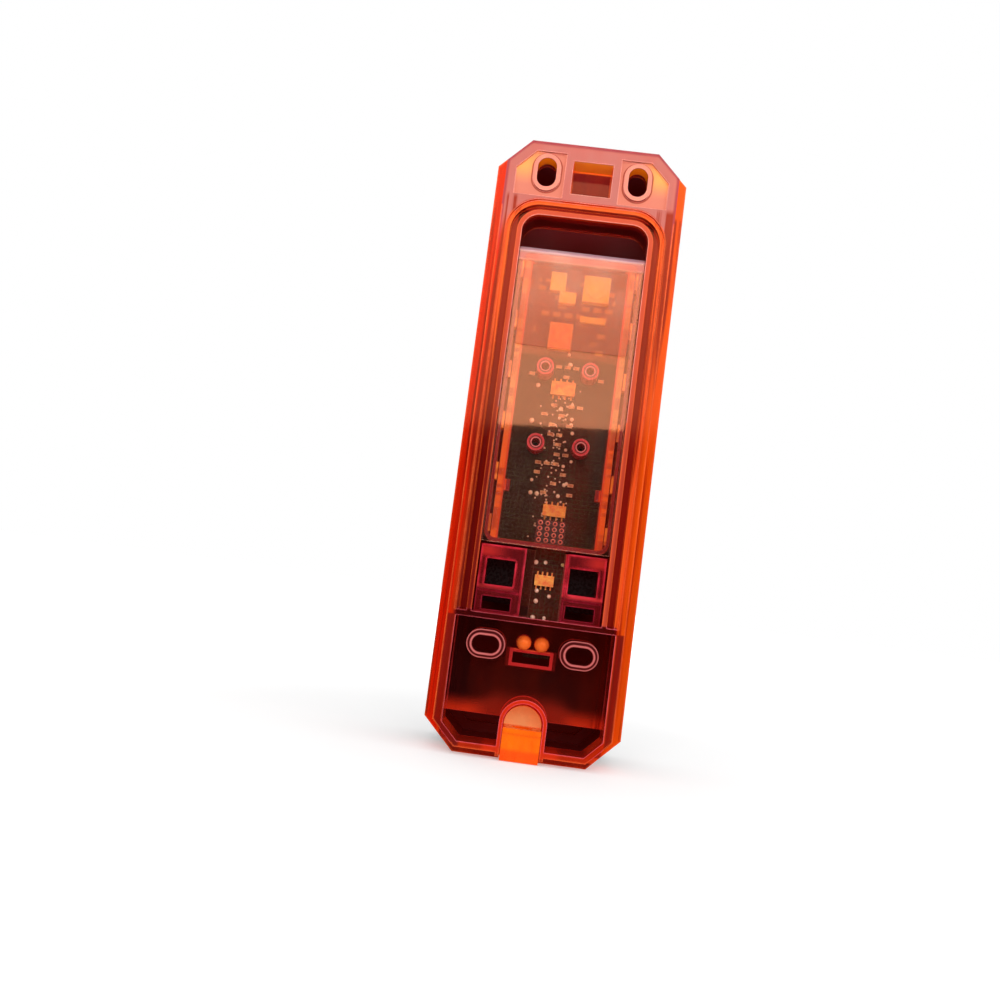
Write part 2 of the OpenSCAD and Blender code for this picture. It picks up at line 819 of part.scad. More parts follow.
// Header with a field of short pins
header_at = [-0.9, 72.5];
header_w = 7.6;
header_l = 6;
header_h = 1.8;
header_cols = 4;
header_rows = 4;
stub_r = 0.35;
stub_h = 0.6;
module programming_header() color([0.6, 0.15, 0.15]) {
    back_part(header_at.x, header_at.y, header_w, header_l, header_h);
    for (i = [0 : header_cols - 1], j = [0 : header_rows - 1])
        bar((header_at.x + header_w * ((i + 1 / 2) / header_cols - 1 / 2)) * width_scale,
            down(header_at.y + header_l * ((j + 1 / 2) / header_rows - 1 / 2)),
            stub_r, board_d - header_h - stub_h, board_d - header_h);
}

// Centres of the terminals, from the outer edge inwards
supply_x = [for (i = [0 : supply_ways - 1]) block_x - block_edge - pitch * (i + 1 / 2)];
relay_x = [for (i = [0 : relay_ways - 1]) block_edge - block_x + pitch * (i + 1 / 2)];
block_front = board_front + block_d;
cavity_d = board_front + clamp_top;
clamp_back = cavity_d + fit;
well_d = clamp_back + clamp_d + fit;

module terminal_block(places) {
    w = len(places) * pitch + 2 * block_edge;
    x = (min(places) + max(places)) / 2;
    difference() {
        block(x, w, block_z - block_h / 2, block_z + block_h / 2, board_front, block_front);
        for (p = places) {
            block(p, clamp_w + 2 * running, block_z - clamp_h / 2 - fit, block_z + clamp_h / 2 + fit,
                cavity_d, well_d);
            block(p, entry_w, block_z - block_h / 2 - over, block_z, cavity_d + fit,
                cavity_d + fit + entry_d);
            bar(p, block_z, well_r, cavity_d + fit, block_front + over);
        }
    }
}

module supply_terminals() color([0.15, 0.25, 0.2]) terminal_block(supply_x);
module relay_terminals() color([0.15, 0.25, 0.2]) terminal_block(relay_x);

// Brass clamps that the wires go through, with the pins that go into the board
module terminal_clamps() color(brass_colour)
    for (p = concat(supply_x, relay_x)) {
        difference() {
            block(p, clamp_w, block_z - clamp_h / 2, block_z + clamp_h / 2, clamp_back,
                clamp_back + clamp_d);
            block(p, clamp_w - clamp_wall, block_z - clamp_h, block_z + clamp_h,
                clamp_back + clamp_wall, clamp_back + clamp_d - clamp_top);
            bar(p, block_z, shank_r + running, clamp_back + clamp_wall, clamp_back + clamp_d + over);
        }
        bar(p, block_z + block_h / 2 - 2 * pin_r, pin_r, board_d - pin_stub, board_front);
    }

// A slotted screw with its head sunk in the well
module terminal_screw(p) color(tin_colour)
    difference() {
        union() {
            bar(p, block_z, well_r - running, block_front - head_drop - head_t, block_front - head_drop);
            bar(p, block_z, shank_r, clamp_back + clamp_d - clamp_top - clamp_wall,
                block_front - head_drop - head_t);
        }
        block(p, drive_w, block_z - 2 * well_r, block_z + 2 * well_r,
            block_front - head_drop - drive_d, block_front);
    }

base_housing();
cover_seal();
front_cover();
cable_grommet();
module_tray();
module_lid();
frosted_film();
terminal_frame();
main_board();
lens_holder();
lens();
infrared_diode();
output_relay();
status_light();
power_inductor();
smoothing_capacitors();
rectifier();
voltage_regulator();
control_chip();
driver_chip();
tongue_chip();
small_passives();
programming_header();
supply_terminals();
relay_terminals();
terminal_clamps();
terminal_screw(supply_x[0]);  // supply_screw_1
terminal_screw(supply_x[1]);  // supply_screw_2
terminal_screw(relay_x[0]);  // relay_screw_1
terminal_screw(relay_x[1]);  // relay_screw_2
terminal_screw(relay_x[2]);  // relay_screw_3
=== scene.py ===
import json
import math
import random

import bmesh
import bpy
from mathutils import Matrix, Vector

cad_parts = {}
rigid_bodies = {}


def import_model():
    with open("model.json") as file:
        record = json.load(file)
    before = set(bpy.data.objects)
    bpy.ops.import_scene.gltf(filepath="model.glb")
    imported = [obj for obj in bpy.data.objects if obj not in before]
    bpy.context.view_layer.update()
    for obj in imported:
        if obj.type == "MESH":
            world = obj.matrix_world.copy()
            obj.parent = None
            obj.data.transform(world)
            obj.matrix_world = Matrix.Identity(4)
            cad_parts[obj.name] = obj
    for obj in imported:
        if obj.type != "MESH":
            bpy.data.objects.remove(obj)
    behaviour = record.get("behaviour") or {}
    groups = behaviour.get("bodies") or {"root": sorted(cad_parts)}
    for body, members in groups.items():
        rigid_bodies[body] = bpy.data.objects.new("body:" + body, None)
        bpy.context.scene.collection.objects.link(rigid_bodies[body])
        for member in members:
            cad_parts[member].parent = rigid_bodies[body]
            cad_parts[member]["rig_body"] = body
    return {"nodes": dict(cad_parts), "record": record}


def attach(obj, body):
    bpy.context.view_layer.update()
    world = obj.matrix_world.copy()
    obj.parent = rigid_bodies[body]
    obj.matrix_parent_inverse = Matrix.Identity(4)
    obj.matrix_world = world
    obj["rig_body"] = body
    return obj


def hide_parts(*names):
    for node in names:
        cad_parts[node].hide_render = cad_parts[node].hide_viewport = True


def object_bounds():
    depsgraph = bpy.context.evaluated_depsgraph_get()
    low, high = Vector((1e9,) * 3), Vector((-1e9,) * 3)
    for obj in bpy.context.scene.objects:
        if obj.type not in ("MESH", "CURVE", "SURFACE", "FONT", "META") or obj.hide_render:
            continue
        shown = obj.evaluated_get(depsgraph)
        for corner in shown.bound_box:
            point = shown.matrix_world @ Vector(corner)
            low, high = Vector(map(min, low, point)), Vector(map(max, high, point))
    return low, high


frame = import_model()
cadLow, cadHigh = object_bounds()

scene = bpy.context.scene
mm = 0.001
print("frame loaded:", len(frame["nodes"]), "nodes")


# Camera: lens and place that fit the back view of the unit

cameraLook = {
    "lens": 35.4956,
    "turn": (0.0865, 0.0334, -0.129),
    "shift": (0.5902, 0.0989, 11.0822),
    "unit": 22.5,
    "midHeight": 40.2,
    "sensor": 36,
    "clip": (0.005, 20),
}


def makeCamera(look):
    turn = Vector(look["turn"])
    spin = Matrix.Rotation(turn.length, 3, turn.normalized())
    toPlate = Matrix(((-1, 0, 0), (0, 0, 1), (0, -1, 0)))
    flip = Matrix(((1, 0, 0), (0, 1, 0), (0, 0, -1)))
    worldToCamera = flip @ spin @ toPlate
    size = look["unit"] * mm
    middle = Vector((0, 0, look["midHeight"] * mm))
    offset = flip @ Vector(look["shift"]) * size - worldToCamera @ middle
    data = bpy.data.cameras.new("backView")
    data.lens = look["lens"]
    data.sensor_width = look["sensor"]
    data.clip_start, data.clip_end = look["clip"]
    camera = bpy.data.objects.new("backView", data)
    scene.collection.objects.link(camera)
    rotation = worldToCamera.transposed()
    camera.matrix_world = Matrix.Translation(-(rotation @ offset)) @ rotation.to_4x4()
    scene.camera = camera
    return camera


camera = makeCamera(cameraLook)
print("camera at", [round(v, 4) for v in camera.location])


# Material building blocks

def newMaterial(name):
    material = bpy.data.materials.new(name)
    material.use_nodes = True
    tree = material.node_tree
    tree.nodes.clear()
    output = tree.nodes.new("ShaderNodeOutputMaterial")
    shader = tree.nodes.new("ShaderNodeBsdfPrincipled")
    tree.links.new(shader.outputs["BSDF"], output.inputs["Surface"])
    coords = tree.nodes.new("ShaderNodeTexCoord")
    return material, tree, shader, output, coords.outputs["Object"]


def math2(tree, operation, first, second=None):
    node = tree.nodes.new("ShaderNodeMath")
    node.operation = operation
    for socket, value in zip(node.inputs, (first, second)):
        if isinstance(value, (int, float)):
            socket.default_value = value
        elif value is not None:
            tree.links.new(value, socket)
    return node.outputs[0]


def noise(tree, coords, size, detail=3, rough=0.5, stretch=None):
    node = tree.nodes.new("ShaderNodeTexNoise")
    node.inputs["Scale"].default_value = 1 / (size * mm)
    node.inputs["Detail"].default_value = detail
    node.inputs["Roughness"].default_value = rough
    if stretch:
        mapping = tree.nodes.new("ShaderNodeMapping")
        mapping.inputs["Scale"].default_value = stretch
        tree.links.new(coords, mapping.inputs["Vector"])
        coords = mapping.outputs["Vector"]
    tree.links.new(coords, node.inputs["Vector"])
    return node.outputs["Fac"]


def spread(tree, value, low, high, fromLow=0.3, fromHigh=0.7, smooth=False):
    node = tree.nodes.new("ShaderNodeMapRange")
    node.interpolation_type = "SMOOTHSTEP" if smooth else "LINEAR"
    node.inputs["From Min"].default_value = fromLow
    node.inputs["From Max"].default_value = fromHigh
    node.inputs["To Min"].default_value = low
    node.inputs["To Max"].default_value = high
    tree.links.new(value, node.inputs["Value"])
    return node.outputs["Result"]


def blendColours(tree, factor, first, second):
    node = tree.nodes.new("ShaderNodeMix")
    node.data_type = "RGBA"
    tree.links.new(factor, node.inputs["Factor"])
    for socket, colour in (("A", first), ("B", second)):
        target = [s for s in node.inputs if s.name == socket and s.type == "RGBA"][0]
        if isinstance(colour, tuple):
            target.default_value = (*colour, 1)
        else:
            tree.links.new(colour, target)
    return [s for s in node.outputs if s.type == "RGBA"][0]


def blendValues(tree, factor, first, second):
    node = tree.nodes.new("ShaderNodeMix")
    node.data_type = "FLOAT"
    tree.links.new(factor, node.inputs["Factor"])
    for socket, value in (("A", first), ("B", second)):
        target = [s for s in node.inputs if s.name == socket and s.type == "VALUE"][0]
        if isinstance(value, (int, float)):
            target.default_value = value
        else:
            tree.links.new(value, target)
    return [s for s in node.outputs if s.type == "VALUE"][0]


def addBump(tree, shader, height, depth, strength=0.3):
    node = tree.nodes.new("ShaderNodeBump")
    node.inputs["Strength"].default_value = strength
    node.inputs["Distance"].default_value = depth * mm
    tree.links.new(height, node.inputs["Height"])
    tree.links.new(node.outputs["Normal"], shader.inputs["Normal"])


# Soft masks in the unit's own millimetres: "side" is the distance from the middle plane, "deep" from
# the wall face, "arch" from the middle line of the cable arch, "ring" outwards from the window's edge,
# "slot" and "eye" outwards from the edge of a lower and of an upper fixing slot, "post" from the middle
# of a post of the lens holder; "corner" grows towards the chamfered corners
shapeLook = {
    "archCentre": -18.4,
    "midHeight": 52.5,
    "windowHalf": 16.4,
    "windowTop": 111.4,
    "windowRound": 4.5,
    "slotSide": 11.8,
    "slotStraight": 1.3,
    "slotRound": 2.1,
    "eyeSide": 11.9,
    "eyeHeight": 122.9,
    "eyeStraight": 1.4,
    "eyeRound": 2.5,
    "postSide": 5.85,
    "postMiddle": 62.7,
    "postHalf": 10.0,
}


def makeHypot(tree, first, second):
    squares = math2(tree, "ADD", math2(tree, "POWER", first, 2.0), math2(tree, "POWER", second, 2.0))
    return math2(tree, "SQRT", squares)


def beyond(tree, value, limit):
    return math2(tree, "MAXIMUM", math2(tree, "SUBTRACT", value, limit * mm), 0.0)


def makeAxes(tree, coords):
    look = shapeLook
    split = tree.nodes.new("ShaderNodeSeparateXYZ")
    tree.links.new(coords, split.inputs[0])
    side = math2(tree, "ABSOLUTE", split.outputs["X"])
    deep = math2(tree, "MULTIPLY", split.outputs["Y"], -1.0)
    height = split.outputs["Z"]
    arch = makeHypot(tree, side, beyond(tree, height, look["archCentre"]))
    across = beyond(tree, side, look["windowHalf"] - look["windowRound"])
    along = beyond(tree, height, look["windowTop"] - look["windowRound"])
    ring = math2(tree, "SUBTRACT", makeHypot(tree, across, along), look["windowRound"] * mm)
    reach = math2(tree, "ABSOLUTE", math2(tree, "SUBTRACT", height, look["midHeight"] * mm))
    corner = math2(tree, "ADD", side, reach)
    offset = math2(tree, "ABSOLUTE", math2(tree, "SUBTRACT", side, look["slotSide"] * mm))
    slot = makeHypot(tree, beyond(tree, offset, look["slotStraight"]), height)
    slot = math2(tree, "SUBTRACT", slot, look["slotRound"] * mm)
    offset = math2(tree, "SUBTRACT", side, look["eyeSide"] * mm)
    height = math2(tree, "SUBTRACT", split.outputs["Z"], look["eyeHeight"] * mm)
    height = math2(tree, "ABSOLUTE", height)
    eye = makeHypot(tree, offset, beyond(tree, height, look["eyeStraight"]))
    eye = math2(tree, "SUBTRACT", eye, look["eyeRound"] * mm)
    offset = math2(tree, "SUBTRACT", side, look["postSide"] * mm)
    height = math2(tree, "SUBTRACT", split.outputs["Z"], look["postMiddle"] * mm)
    height = math2(tree, "ABSOLUTE", height)
    post = makeHypot(tree, offset, math2(tree, "SUBTRACT", height, look["postHalf"] * mm))
    return {"x": split.outputs["X"], "side": side, "deep": deep, "z": split.outputs["Z"], "arch": arch,
            "ring": ring, "slot": slot, "eye": eye, "post": post, "corner": corner}


# A range is (low, high) or (low, high, softness)
def makeMask(tree, axes, ranges, soft=0.25):
    mask = None
    for axis, (low, high, *own) in ranges.items():
        width = own[0] if own else soft
        for edge, rising in ((low, True), (high, False)):
            if edge is None:
                continue
            ends = (0.0, 1.0) if rising else (1.0, 0.0)
            step = spread(tree, axes[axis], *ends, (edge - width) * mm, (edge + width) * mm, smooth=True)
            mask = step if mask is None else math2(tree, "MULTIPLY", mask, step)
    return mask


bevelLook = {"samples": 4, "edge": 0.71, "flat": 0.998}


# How far the rounded normal leans from the face's own: 0 on a flat face, 1 along an edge; it masks the
# painted highlights along edges
def makeEdgeHighlightMask(tree, radius):
    rounded = tree.nodes.new("ShaderNodeBevel")
    rounded.samples = bevelLook["samples"]
    if isinstance(radius, (int, float)):
        rounded.inputs["Radius"].default_value = radius
    else:
        tree.links.new(radius, rounded.inputs["Radius"])
    place = tree.nodes.new("ShaderNodeNewGeometry")
    dot = tree.nodes.new("ShaderNodeVectorMath")
    dot.operation = "DOT_PRODUCT"
    tree.links.new(rounded.outputs["Normal"], dot.inputs[0])
    tree.links.new(place.outputs["Normal"], dot.inputs[1])
    return spread(tree, dot.outputs["Value"], 1.0, 0.0, bevelLook["edge"], bevelLook["flat"])


# What a clear moulding's look says where it says nothing else: cloud and fine are noise sizes in mm
clearDefaults = {
    "cloud": 9,
    "cloudDetail": 4,
    "cloudRough": 0.55,
    "cloudStretch": (1, 1, 0.35),
    "fine": 1.6,
    "haze": 0.03,
    "leastShade": 0.75,
    "ior": 1.5,
}
streakDefaults = {"detail": 2, "stretch": (1, 1, 0.02), "limits": (0.46, 0.6), "soft": 1.0}
edgeHighlightDefaults = {"patch": 4, "patchDetail": 2, "uneven": 0, "limits": (0.38, 0.58)}


# A clear moulding with painted highlights along its edges. A region is (ranges in mm, colour, clearness,
# softness), a region of the edge highlights is (ranges, colour, strength, radius in mm)
def clearPlastic(look, regions=(), edgeHighlightRegions=()):
    look = {**clearDefaults, **look}
    material, tree, shader, output, coords = newMaterial(look["name"])
    cloudy = noise(tree, coords, look["cloud"], look["cloudDetail"], look["cloudRough"],
                   look["cloudStretch"])
    fine = noise(tree, coords, look["fine"])
    axes = makeAxes(tree, coords)
    colour = blendColours(tree, spread(tree, cloudy, 0, 1), *look["tints"])
    clearness = spread(tree, cloudy, look["clear"] - look["haze"], look["clear"] + look["haze"])
    for ranges, tint, regionClear, *soft in regions:
        mask = makeMask(tree, axes, ranges, *soft)
        shade = math2(tree, "MULTIPLY", mask, spread(tree, cloudy, look["leastShade"], 1.0))
        colour = blendColours(tree, shade, colour, tint)
        clearness = blendValues(tree, mask, clearness, regionClear)
    if "streak" in look:
        streak = {**streakDefaults, **look["streak"]}
        lines = noise(tree, coords, streak["size"], streak["detail"], stretch=streak["stretch"])
        amount = spread(tree, lines, 0, streak["amount"], *streak["limits"])
        streaked = makeMask(tree, axes, streak["ranges"], streak["soft"])
        amount = math2(tree, "MULTIPLY", amount, streaked)
        colour = blendColours(tree, amount, colour, streak["tint"])
    # painted highlights: the edges take the rim's tint, in patches
    if "rim" in look:
        rim = {**edgeHighlightDefaults, **look["rim"]}
        highlightTints = rim["tint"], rim.get("tintB", rim["tint"])
        highlightTint = blendColours(tree, spread(tree, cloudy, 0, 1), *highlightTints)
        radius = rim["radius"] * mm
        strength = rim["strength"]
        for ranges, tint, regionStrength, regionRadius in edgeHighlightRegions:
            mask = makeMask(tree, axes, ranges)
            highlightTint = blendColours(tree, mask, highlightTint, tint)
            strength = blendValues(tree, mask, strength, regionStrength)
            radius = blendValues(tree, mask, radius, regionRadius * mm)
        highlightShare = math2(tree, "MINIMUM", math2(tree, "MULTIPLY", makeEdgeHighlightMask(tree, radius), strength), 1.0)
        patches = noise(tree, coords, rim["patch"], rim["patchDetail"])
        patchy = spread(tree, patches, 1 - rim["uneven"], 1.0, *rim["limits"])
        highlightShare = math2(tree, "MULTIPLY", highlightShare, patchy)
        colour = blendColours(tree, highlightShare, colour, highlightTint)
        clearness = blendValues(tree, highlightShare, clearness, rim["clear"])
    tree.links.new(colour, shader.inputs["Base Color"])
    tree.links.new(clearness, shader.inputs["Transmission Weight"])
    tree.links.new(spread(tree, fine, *look["rough"]), shader.inputs["Roughness"])
    shader.inputs["IOR"].default_value = look["ior"]
    # lamps shine through the piece on what is behind it
    paths = tree.nodes.new("ShaderNodeLightPath")
    through = tree.nodes.new("ShaderNodeBsdfTransparent")
    through.inputs["Color"].default_value = (*look["shadow"], 1)
    mix = tree.nodes.new("ShaderNodeMixShader")
    tree.links.new(paths.outputs["Is Shadow Ray"], mix.inputs[0])
    tree.links.new(shader.outputs["BSDF"], mix.inputs[1])
    tree.links.new(through.outputs[0], mix.inputs[2])
    tree.links.new(mix.outputs[0], output.inputs["Surface"])
    if "shine" in look:
        shader.inputs["Specular Tint"].default_value = (*look["shine"], 1)
    return material


solidDefaults = {
    "size": 3.0,
    "detail": 4,
    "detailRough": 0.6,
    "grainShare": 1 / 8,
    "grainDetail": 2,
    "rough": (0.3, 0.5),
    "metal": 0.0,
    "specular": 0.5,
    "grain": 0.02,
    "regions": (),
}


# An opaque moulding, ceramic or metal with mottling and fine grain, with painted highlights along its
# edges where its look has a rim; a region is (ranges, colour, softness)
def solidFinish(look):
    look = {**solidDefaults, **look}
    material, tree, shader, output, coords = newMaterial(look["name"])
    mottled = noise(tree, coords, look["size"], look["detail"], look["detailRough"])
    fine = noise(tree, coords, look["size"] * look["grainShare"], look["grainDetail"])
    colour = blendColours(tree, spread(tree, mottled, 0, 1), *look["tints"])
    # painted highlights along the edges, in the rim's tint
    rim = look.get("rim")
    if rim:
        highlightShare = math2(tree, "MULTIPLY", makeEdgeHighlightMask(tree, rim["radius"] * mm), rim.get("strength", 1.0))
        colour = blendColours(tree, math2(tree, "MINIMUM", highlightShare, 1.0), colour, rim["tint"])
    for ranges, tint, *soft in look["regions"]:
        mask = makeMask(tree, makeAxes(tree, coords), ranges, *soft)
        colour = blendColours(tree, mask, colour, tint)
    tree.links.new(colour, shader.inputs["Base Color"])
    tree.links.new(spread(tree, fine, *look["rough"]), shader.inputs["Roughness"])
    shader.inputs["Metallic"].default_value = look["metal"]
    shader.inputs["Specular IOR Level"].default_value = look["specular"]
    addBump(tree, shader, fine, look["grain"])
    return material


# Turns the evaluated object into a plain mesh object of the same name and removes the live one
def bake(live):
    graph = bpy.context.evaluated_depsgraph_get()
    mesh = bpy.data.meshes.new_from_object(live.evaluated_get(graph), depsgraph=graph)
    name = live.name
    bpy.data.objects.remove(live)
    mesh.name = name
    piece = bpy.data.objects.new(name, mesh)
    scene.collection.objects.link(piece)
    return piece


def addPiece(name, mesh, body, node=None):
    piece = bpy.data.objects.new(name, mesh)
    scene.collection.objects.link(piece)
    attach(piece, body)
    if node:
        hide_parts(node)
    return piece


# Lengths in mm and angles in degrees for the copies of the CAD meshes; a face with more corners than
# "mostCorners" is cut into triangles
meshLook = {"weld": 0.002, "flat": 0.6, "smooth": 30, "shrink": 0.008, "mostCorners": 4}


# Smooth shading that keeps edges sharper than the angle
def smoothFaces(work, angle=meshLook["smooth"]):
    for line in work.edges:
        line.smooth = len(line.link_faces) == 2 and line.calc_face_angle() < math.radians(angle)
    for face in work.faces:
        face.smooth = True


# Copies a node's mesh, welds it and smooths its curves; the copy, a little smaller, stands for the node
def dressNode(node, material, body, shrink=meshLook["shrink"]):
    mesh = frame["nodes"][node].data.copy()
    work = bmesh.new()
    work.from_mesh(mesh)
    bmesh.ops.remove_doubles(work, verts=work.verts, dist=meshLook["weld"] * mm)
    bmesh.ops.dissolve_limit(work, angle_limit=math.radians(meshLook["flat"]), verts=work.verts,
                             edges=work.edges)
    work.normal_update()
    for vertex, move in [(v, v.normal * shrink * mm) for v in work.verts]:
        vertex.co -= move
    manySided = [face for face in work.faces if len(face.verts) > meshLook["mostCorners"]]
    bmesh.ops.triangulate(work, faces=manySided)
    smoothFaces(work)
    work.to_mesh(mesh)
    work.free()
    mesh.materials.clear()
    mesh.materials.append(material)
    return addPiece(node + "Piece", mesh, body, node)


# A Geometry Nodes tree with named inputs, given as {name: (socket kind, value)}
def newNodeTree(name, inputs):
    tree = bpy.data.node_groups.new(name, "GeometryNodeTree")
    tree.is_modifier = True
    tree.interface.new_socket("Geometry", in_out="OUTPUT", socket_type="NodeSocketGeometry")
    tree.interface.new_socket("Geometry", in_out="INPUT", socket_type="NodeSocketGeometry")
    for label, (kind, value) in inputs.items():
        socket = tree.interface.new_socket(label, in_out="INPUT", socket_type="NodeSocket" + kind)
        if kind != "Material":
            socket.default_value = value
    return tree, tree.nodes.new("NodeGroupInput").outputs, tree.nodes.new("NodeGroupOutput").inputs


# Runs the tree on a mesh and returns the plain result as a piece of the body
def growPiece(name, base, tree, values, body):
    live = bpy.data.objects.new(name, base)
    scene.collection.objects.link(live)
    modifier = live.modifiers.new("grow", "NODES")
    modifier.node_group = tree
    for item in tree.interface.items_tree:
        if item.in_out == "INPUT" and item.name in values:
            modifier[item.identifier] = values[item.name]
    piece = bake(live)
    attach(piece, body)
    return piece


# Housing: clear orange-red, darker where the light doesn't pass along it

housingLook = {
    "name": "clearHousing",
    "tints": ((0.52, 0.016, 0.003), (0.70, 0.042, 0.005)),
    "clear": 0.42,
    "rough": (0.05, 0.12),
    "shine": (1.0, 0.28, 0.12),
    # rim: painted highlights along the housing's edges
    "rim": {"tint": (1.0, 0.18, 0.04), "tintB": (0.95, 0.10, 0.03), "clear": 0.1, "strength": 1.6,
            "radius": 0.8, "patch": 7, "uneven": 0.35},
    "shadow": (0.90, 0.42, 0.20),
    "streak": {"size": 1.3, "amount": 0.95, "tint": (0.26, 0.010, 0.004),
               "ranges": {"side": (17.5, None), "z": (-20, 116)}},
}
# painted reflection: the plate's face rose, as the pale room mirrored in the red plastic
plateRoseReflection = (0.42, 0.155, 0.14)
platePurple = (0.30, 0.035, 0.06)
lipOrange = (0.95, 0.13, 0.02)
# painted shade: the groove round the window dark red
grooveShade = (0.26, 0.012, 0.008)
rimSalmon = (0.50, 0.065, 0.032)
# painted shade: the window's inner walls and the divider below the window dark
innerShade = (0.16, 0.008, 0.010)
flangeOrange = (0.85, 0.065, 0.004)
# painted light and shade: the flange on the right lamp's side brighter, the other flange and a band
# inside it darker
rightFlangeLight = (0.88, 0.10, 0.004)
leftFlangeShade = (0.78, 0.016, 0.002)
shadeRed = (0.20, 0.010, 0.010)
patchPink = (0.60, 0.19, 0.13)
patchGlow = (0.92, 0.37, 0.09)
slotGlow = (1.0, 0.26, 0.004)
eyePink = (0.92, 0.24, 0.17)
eyeShade = (0.30, 0.04, 0.03)
pocketMaroon = (0.16, 0.010, 0.014)
pocketBrown = (0.62, 0.14, 0.07)
bayDark = (0.06, 0.012, 0.015)
bayGlow = (0.80, 0.05, 0.012)
collarDark = (0.10, 0.010, 0.012)
# painted highlight lines on the lower slots' collars
collarHighlightPink = (0.62, 0.15, 0.14)
pinOrange = (0.95, 0.15, 0.02)
archRed = (0.80, 0.035, 0.008)
archGlow = (0.42, 0.030, 0.015)
snapRed = (0.75, 0.03, 0.03)
sideMaroon = (0.17, 0.010, 0.008)
footMaroon = (0.20, 0.004, 0.002)
# tints of painted edge highlights
edgeHighlightPink = (1.0, 0.42, 0.34)
bayEdgeHighlight = (0.95, 0.14, 0.18)
housingRegions = (
    ({"deep": (4.6, 13), "z": (-30, 134)}, flangeOrange, 0.35),
    # painted light on the flange facing the right lamp, painted shade on the other flange
    ({"x": (None, -21.2)}, rightFlangeLight, 0.3, 1.2),
    ({"x": (21.6, None)}, leftFlangeShade, 0.35),
    # painted reflection on the plate's face
    ({"z": (108, 133, 4), "deep": (-1, 1.4), "ring": (4.4, None)}, plateRoseReflection, 0.2),
    ({"corner": (94.2, None), "deep": (-1, 0.5), "z": (104, None, 6)}, platePurple, 0.2, 0.4),
    ({"z": (130.2, None), "deep": (-1, 0.5)}, platePurple, 0.2, 0.3),
    ({"side": (21.8, None), "deep": (-1, 0.5), "z": (104, None, 6)}, platePurple, 0.2, 0.3),
    ({"ring": (-0.1, 1.4), "deep": (-1, 0.6), "z": (7.8, None)}, rimSalmon, 0.15),
    # painted shade in the groove
    ({"ring": (1.2, 3.3), "deep": (0.9, 13), "z": (6, None)}, grooveShade, 0.15),
    ({"ring": (3.15, 4.3), "deep": (0.8, 1.7), "z": (6, None)}, lipOrange, 0.15, 0.15),
    # painted shade between the flange and the window on the darker side
    ({"x": (15.4, 20.8, 0.4), "deep": (-1, 13), "z": (None, 66, 20)}, shadeRed, 0.45),
    # painted shade on the window's inner walls
    ({"side": (None, 17.8), "deep": (1.5, 13), "z": (103, 113.2)}, innerShade, 0.85),
    ({"side": (16.0, 16.7), "deep": (0.8, 13), "z": (6, 104)}, innerShade, 0.8),
    ({"side": (7.0, 20.0), "deep": (0.4, 1.6), "z": (115.5, 129)}, patchPink, 0.1),
    ({"side": (14.5, 22.0, 3), "deep": (0.4, 1.6), "z": (122, 132, 3)}, patchGlow, 0.05),
    ({"eye": (1.0, 1.5), "deep": (-1, 1.3)}, eyeShade, 0.2, 0.12),
    ({"eye": (0.1, 0.95), "deep": (-1, 0.3)}, eyePink, 0.1, 0.12),
    ({"eye": (None, 0.3), "deep": (0.4, 13), "z": (119.6, 127.4, 0.6)}, bayDark, 0.3),
    ({"eye": (None, 0.3), "deep": (0.4, 4.2), "z": (119.6, 127.4, 0.6)}, slotGlow, 0.1),
    ({"side": (None, 5.4), "deep": (0.5, 8), "z": (117.5, 120)}, pocketBrown, 0.05, 0.8),
    ({"side": (None, 5.4), "deep": (0.5, 8), "z": (120, 126.5)}, pocketMaroon, 0.3),
    ({"side": (None, 5.4), "deep": (0.3, 8), "z": (126.4, 128)}, slotGlow, 0.1),
    ({"side": (None, 20.3), "deep": (0.3, 13), "z": (-24.8, 6.7)}, bayDark, 0.85),
    ({"side": (None, 20.3), "deep": (0.3, 13), "z": (-24.8, -15.6, 2.5)}, bayGlow, 0.45),
    # painted shade on the divider between window and bay
    ({"side": (None, 20.3), "deep": (-1, 13), "z": (6.1, 8.1)}, innerShade, 0.8),
    ({"slot": (-0.3, 1.9), "deep": (-1, 1.6)}, collarDark, 0.3),
    # painted highlight lines on the collar's edges
    ({"slot": (0.12, 0.58), "deep": (-1, 0.3)}, collarHighlightPink, 0.05, 0.12),
    ({"slot": (1.2, 1.6), "deep": (0.9, 1.5)}, collarHighlightPink, 0.05, 0.12),
    ({"side": (None, 6.5), "deep": (7.2, 8.55), "z": (-5.2, -0.4)}, snapRed, 0.3),
    ({"side": (None, 4.7), "deep": (4.2, 8.4), "z": (-0.7, 3.6)}, pinOrange, 0.0),
    ({"arch": (None, 11.5), "deep": (1.5, 13), "z": (-25, -13)}, archGlow, 0.6, 3.0),
    ({"arch": (None, 6.08), "deep": (-1, 13), "z": (-28.6, -11.9)}, archRed, 0.3, 0.05),
    ({"side": (6.0, 9.5), "deep": (-1, 13), "z": (-28.6, -23.4)}, archRed, 0.3, 1.0),
    ({"side": (20.5, 22.3), "deep": (-1, 0.5), "z": (-25, 6.5)}, sideMaroon, 0.4),
    ({"z": (None, -26.4)}, footMaroon, 0.4),
)
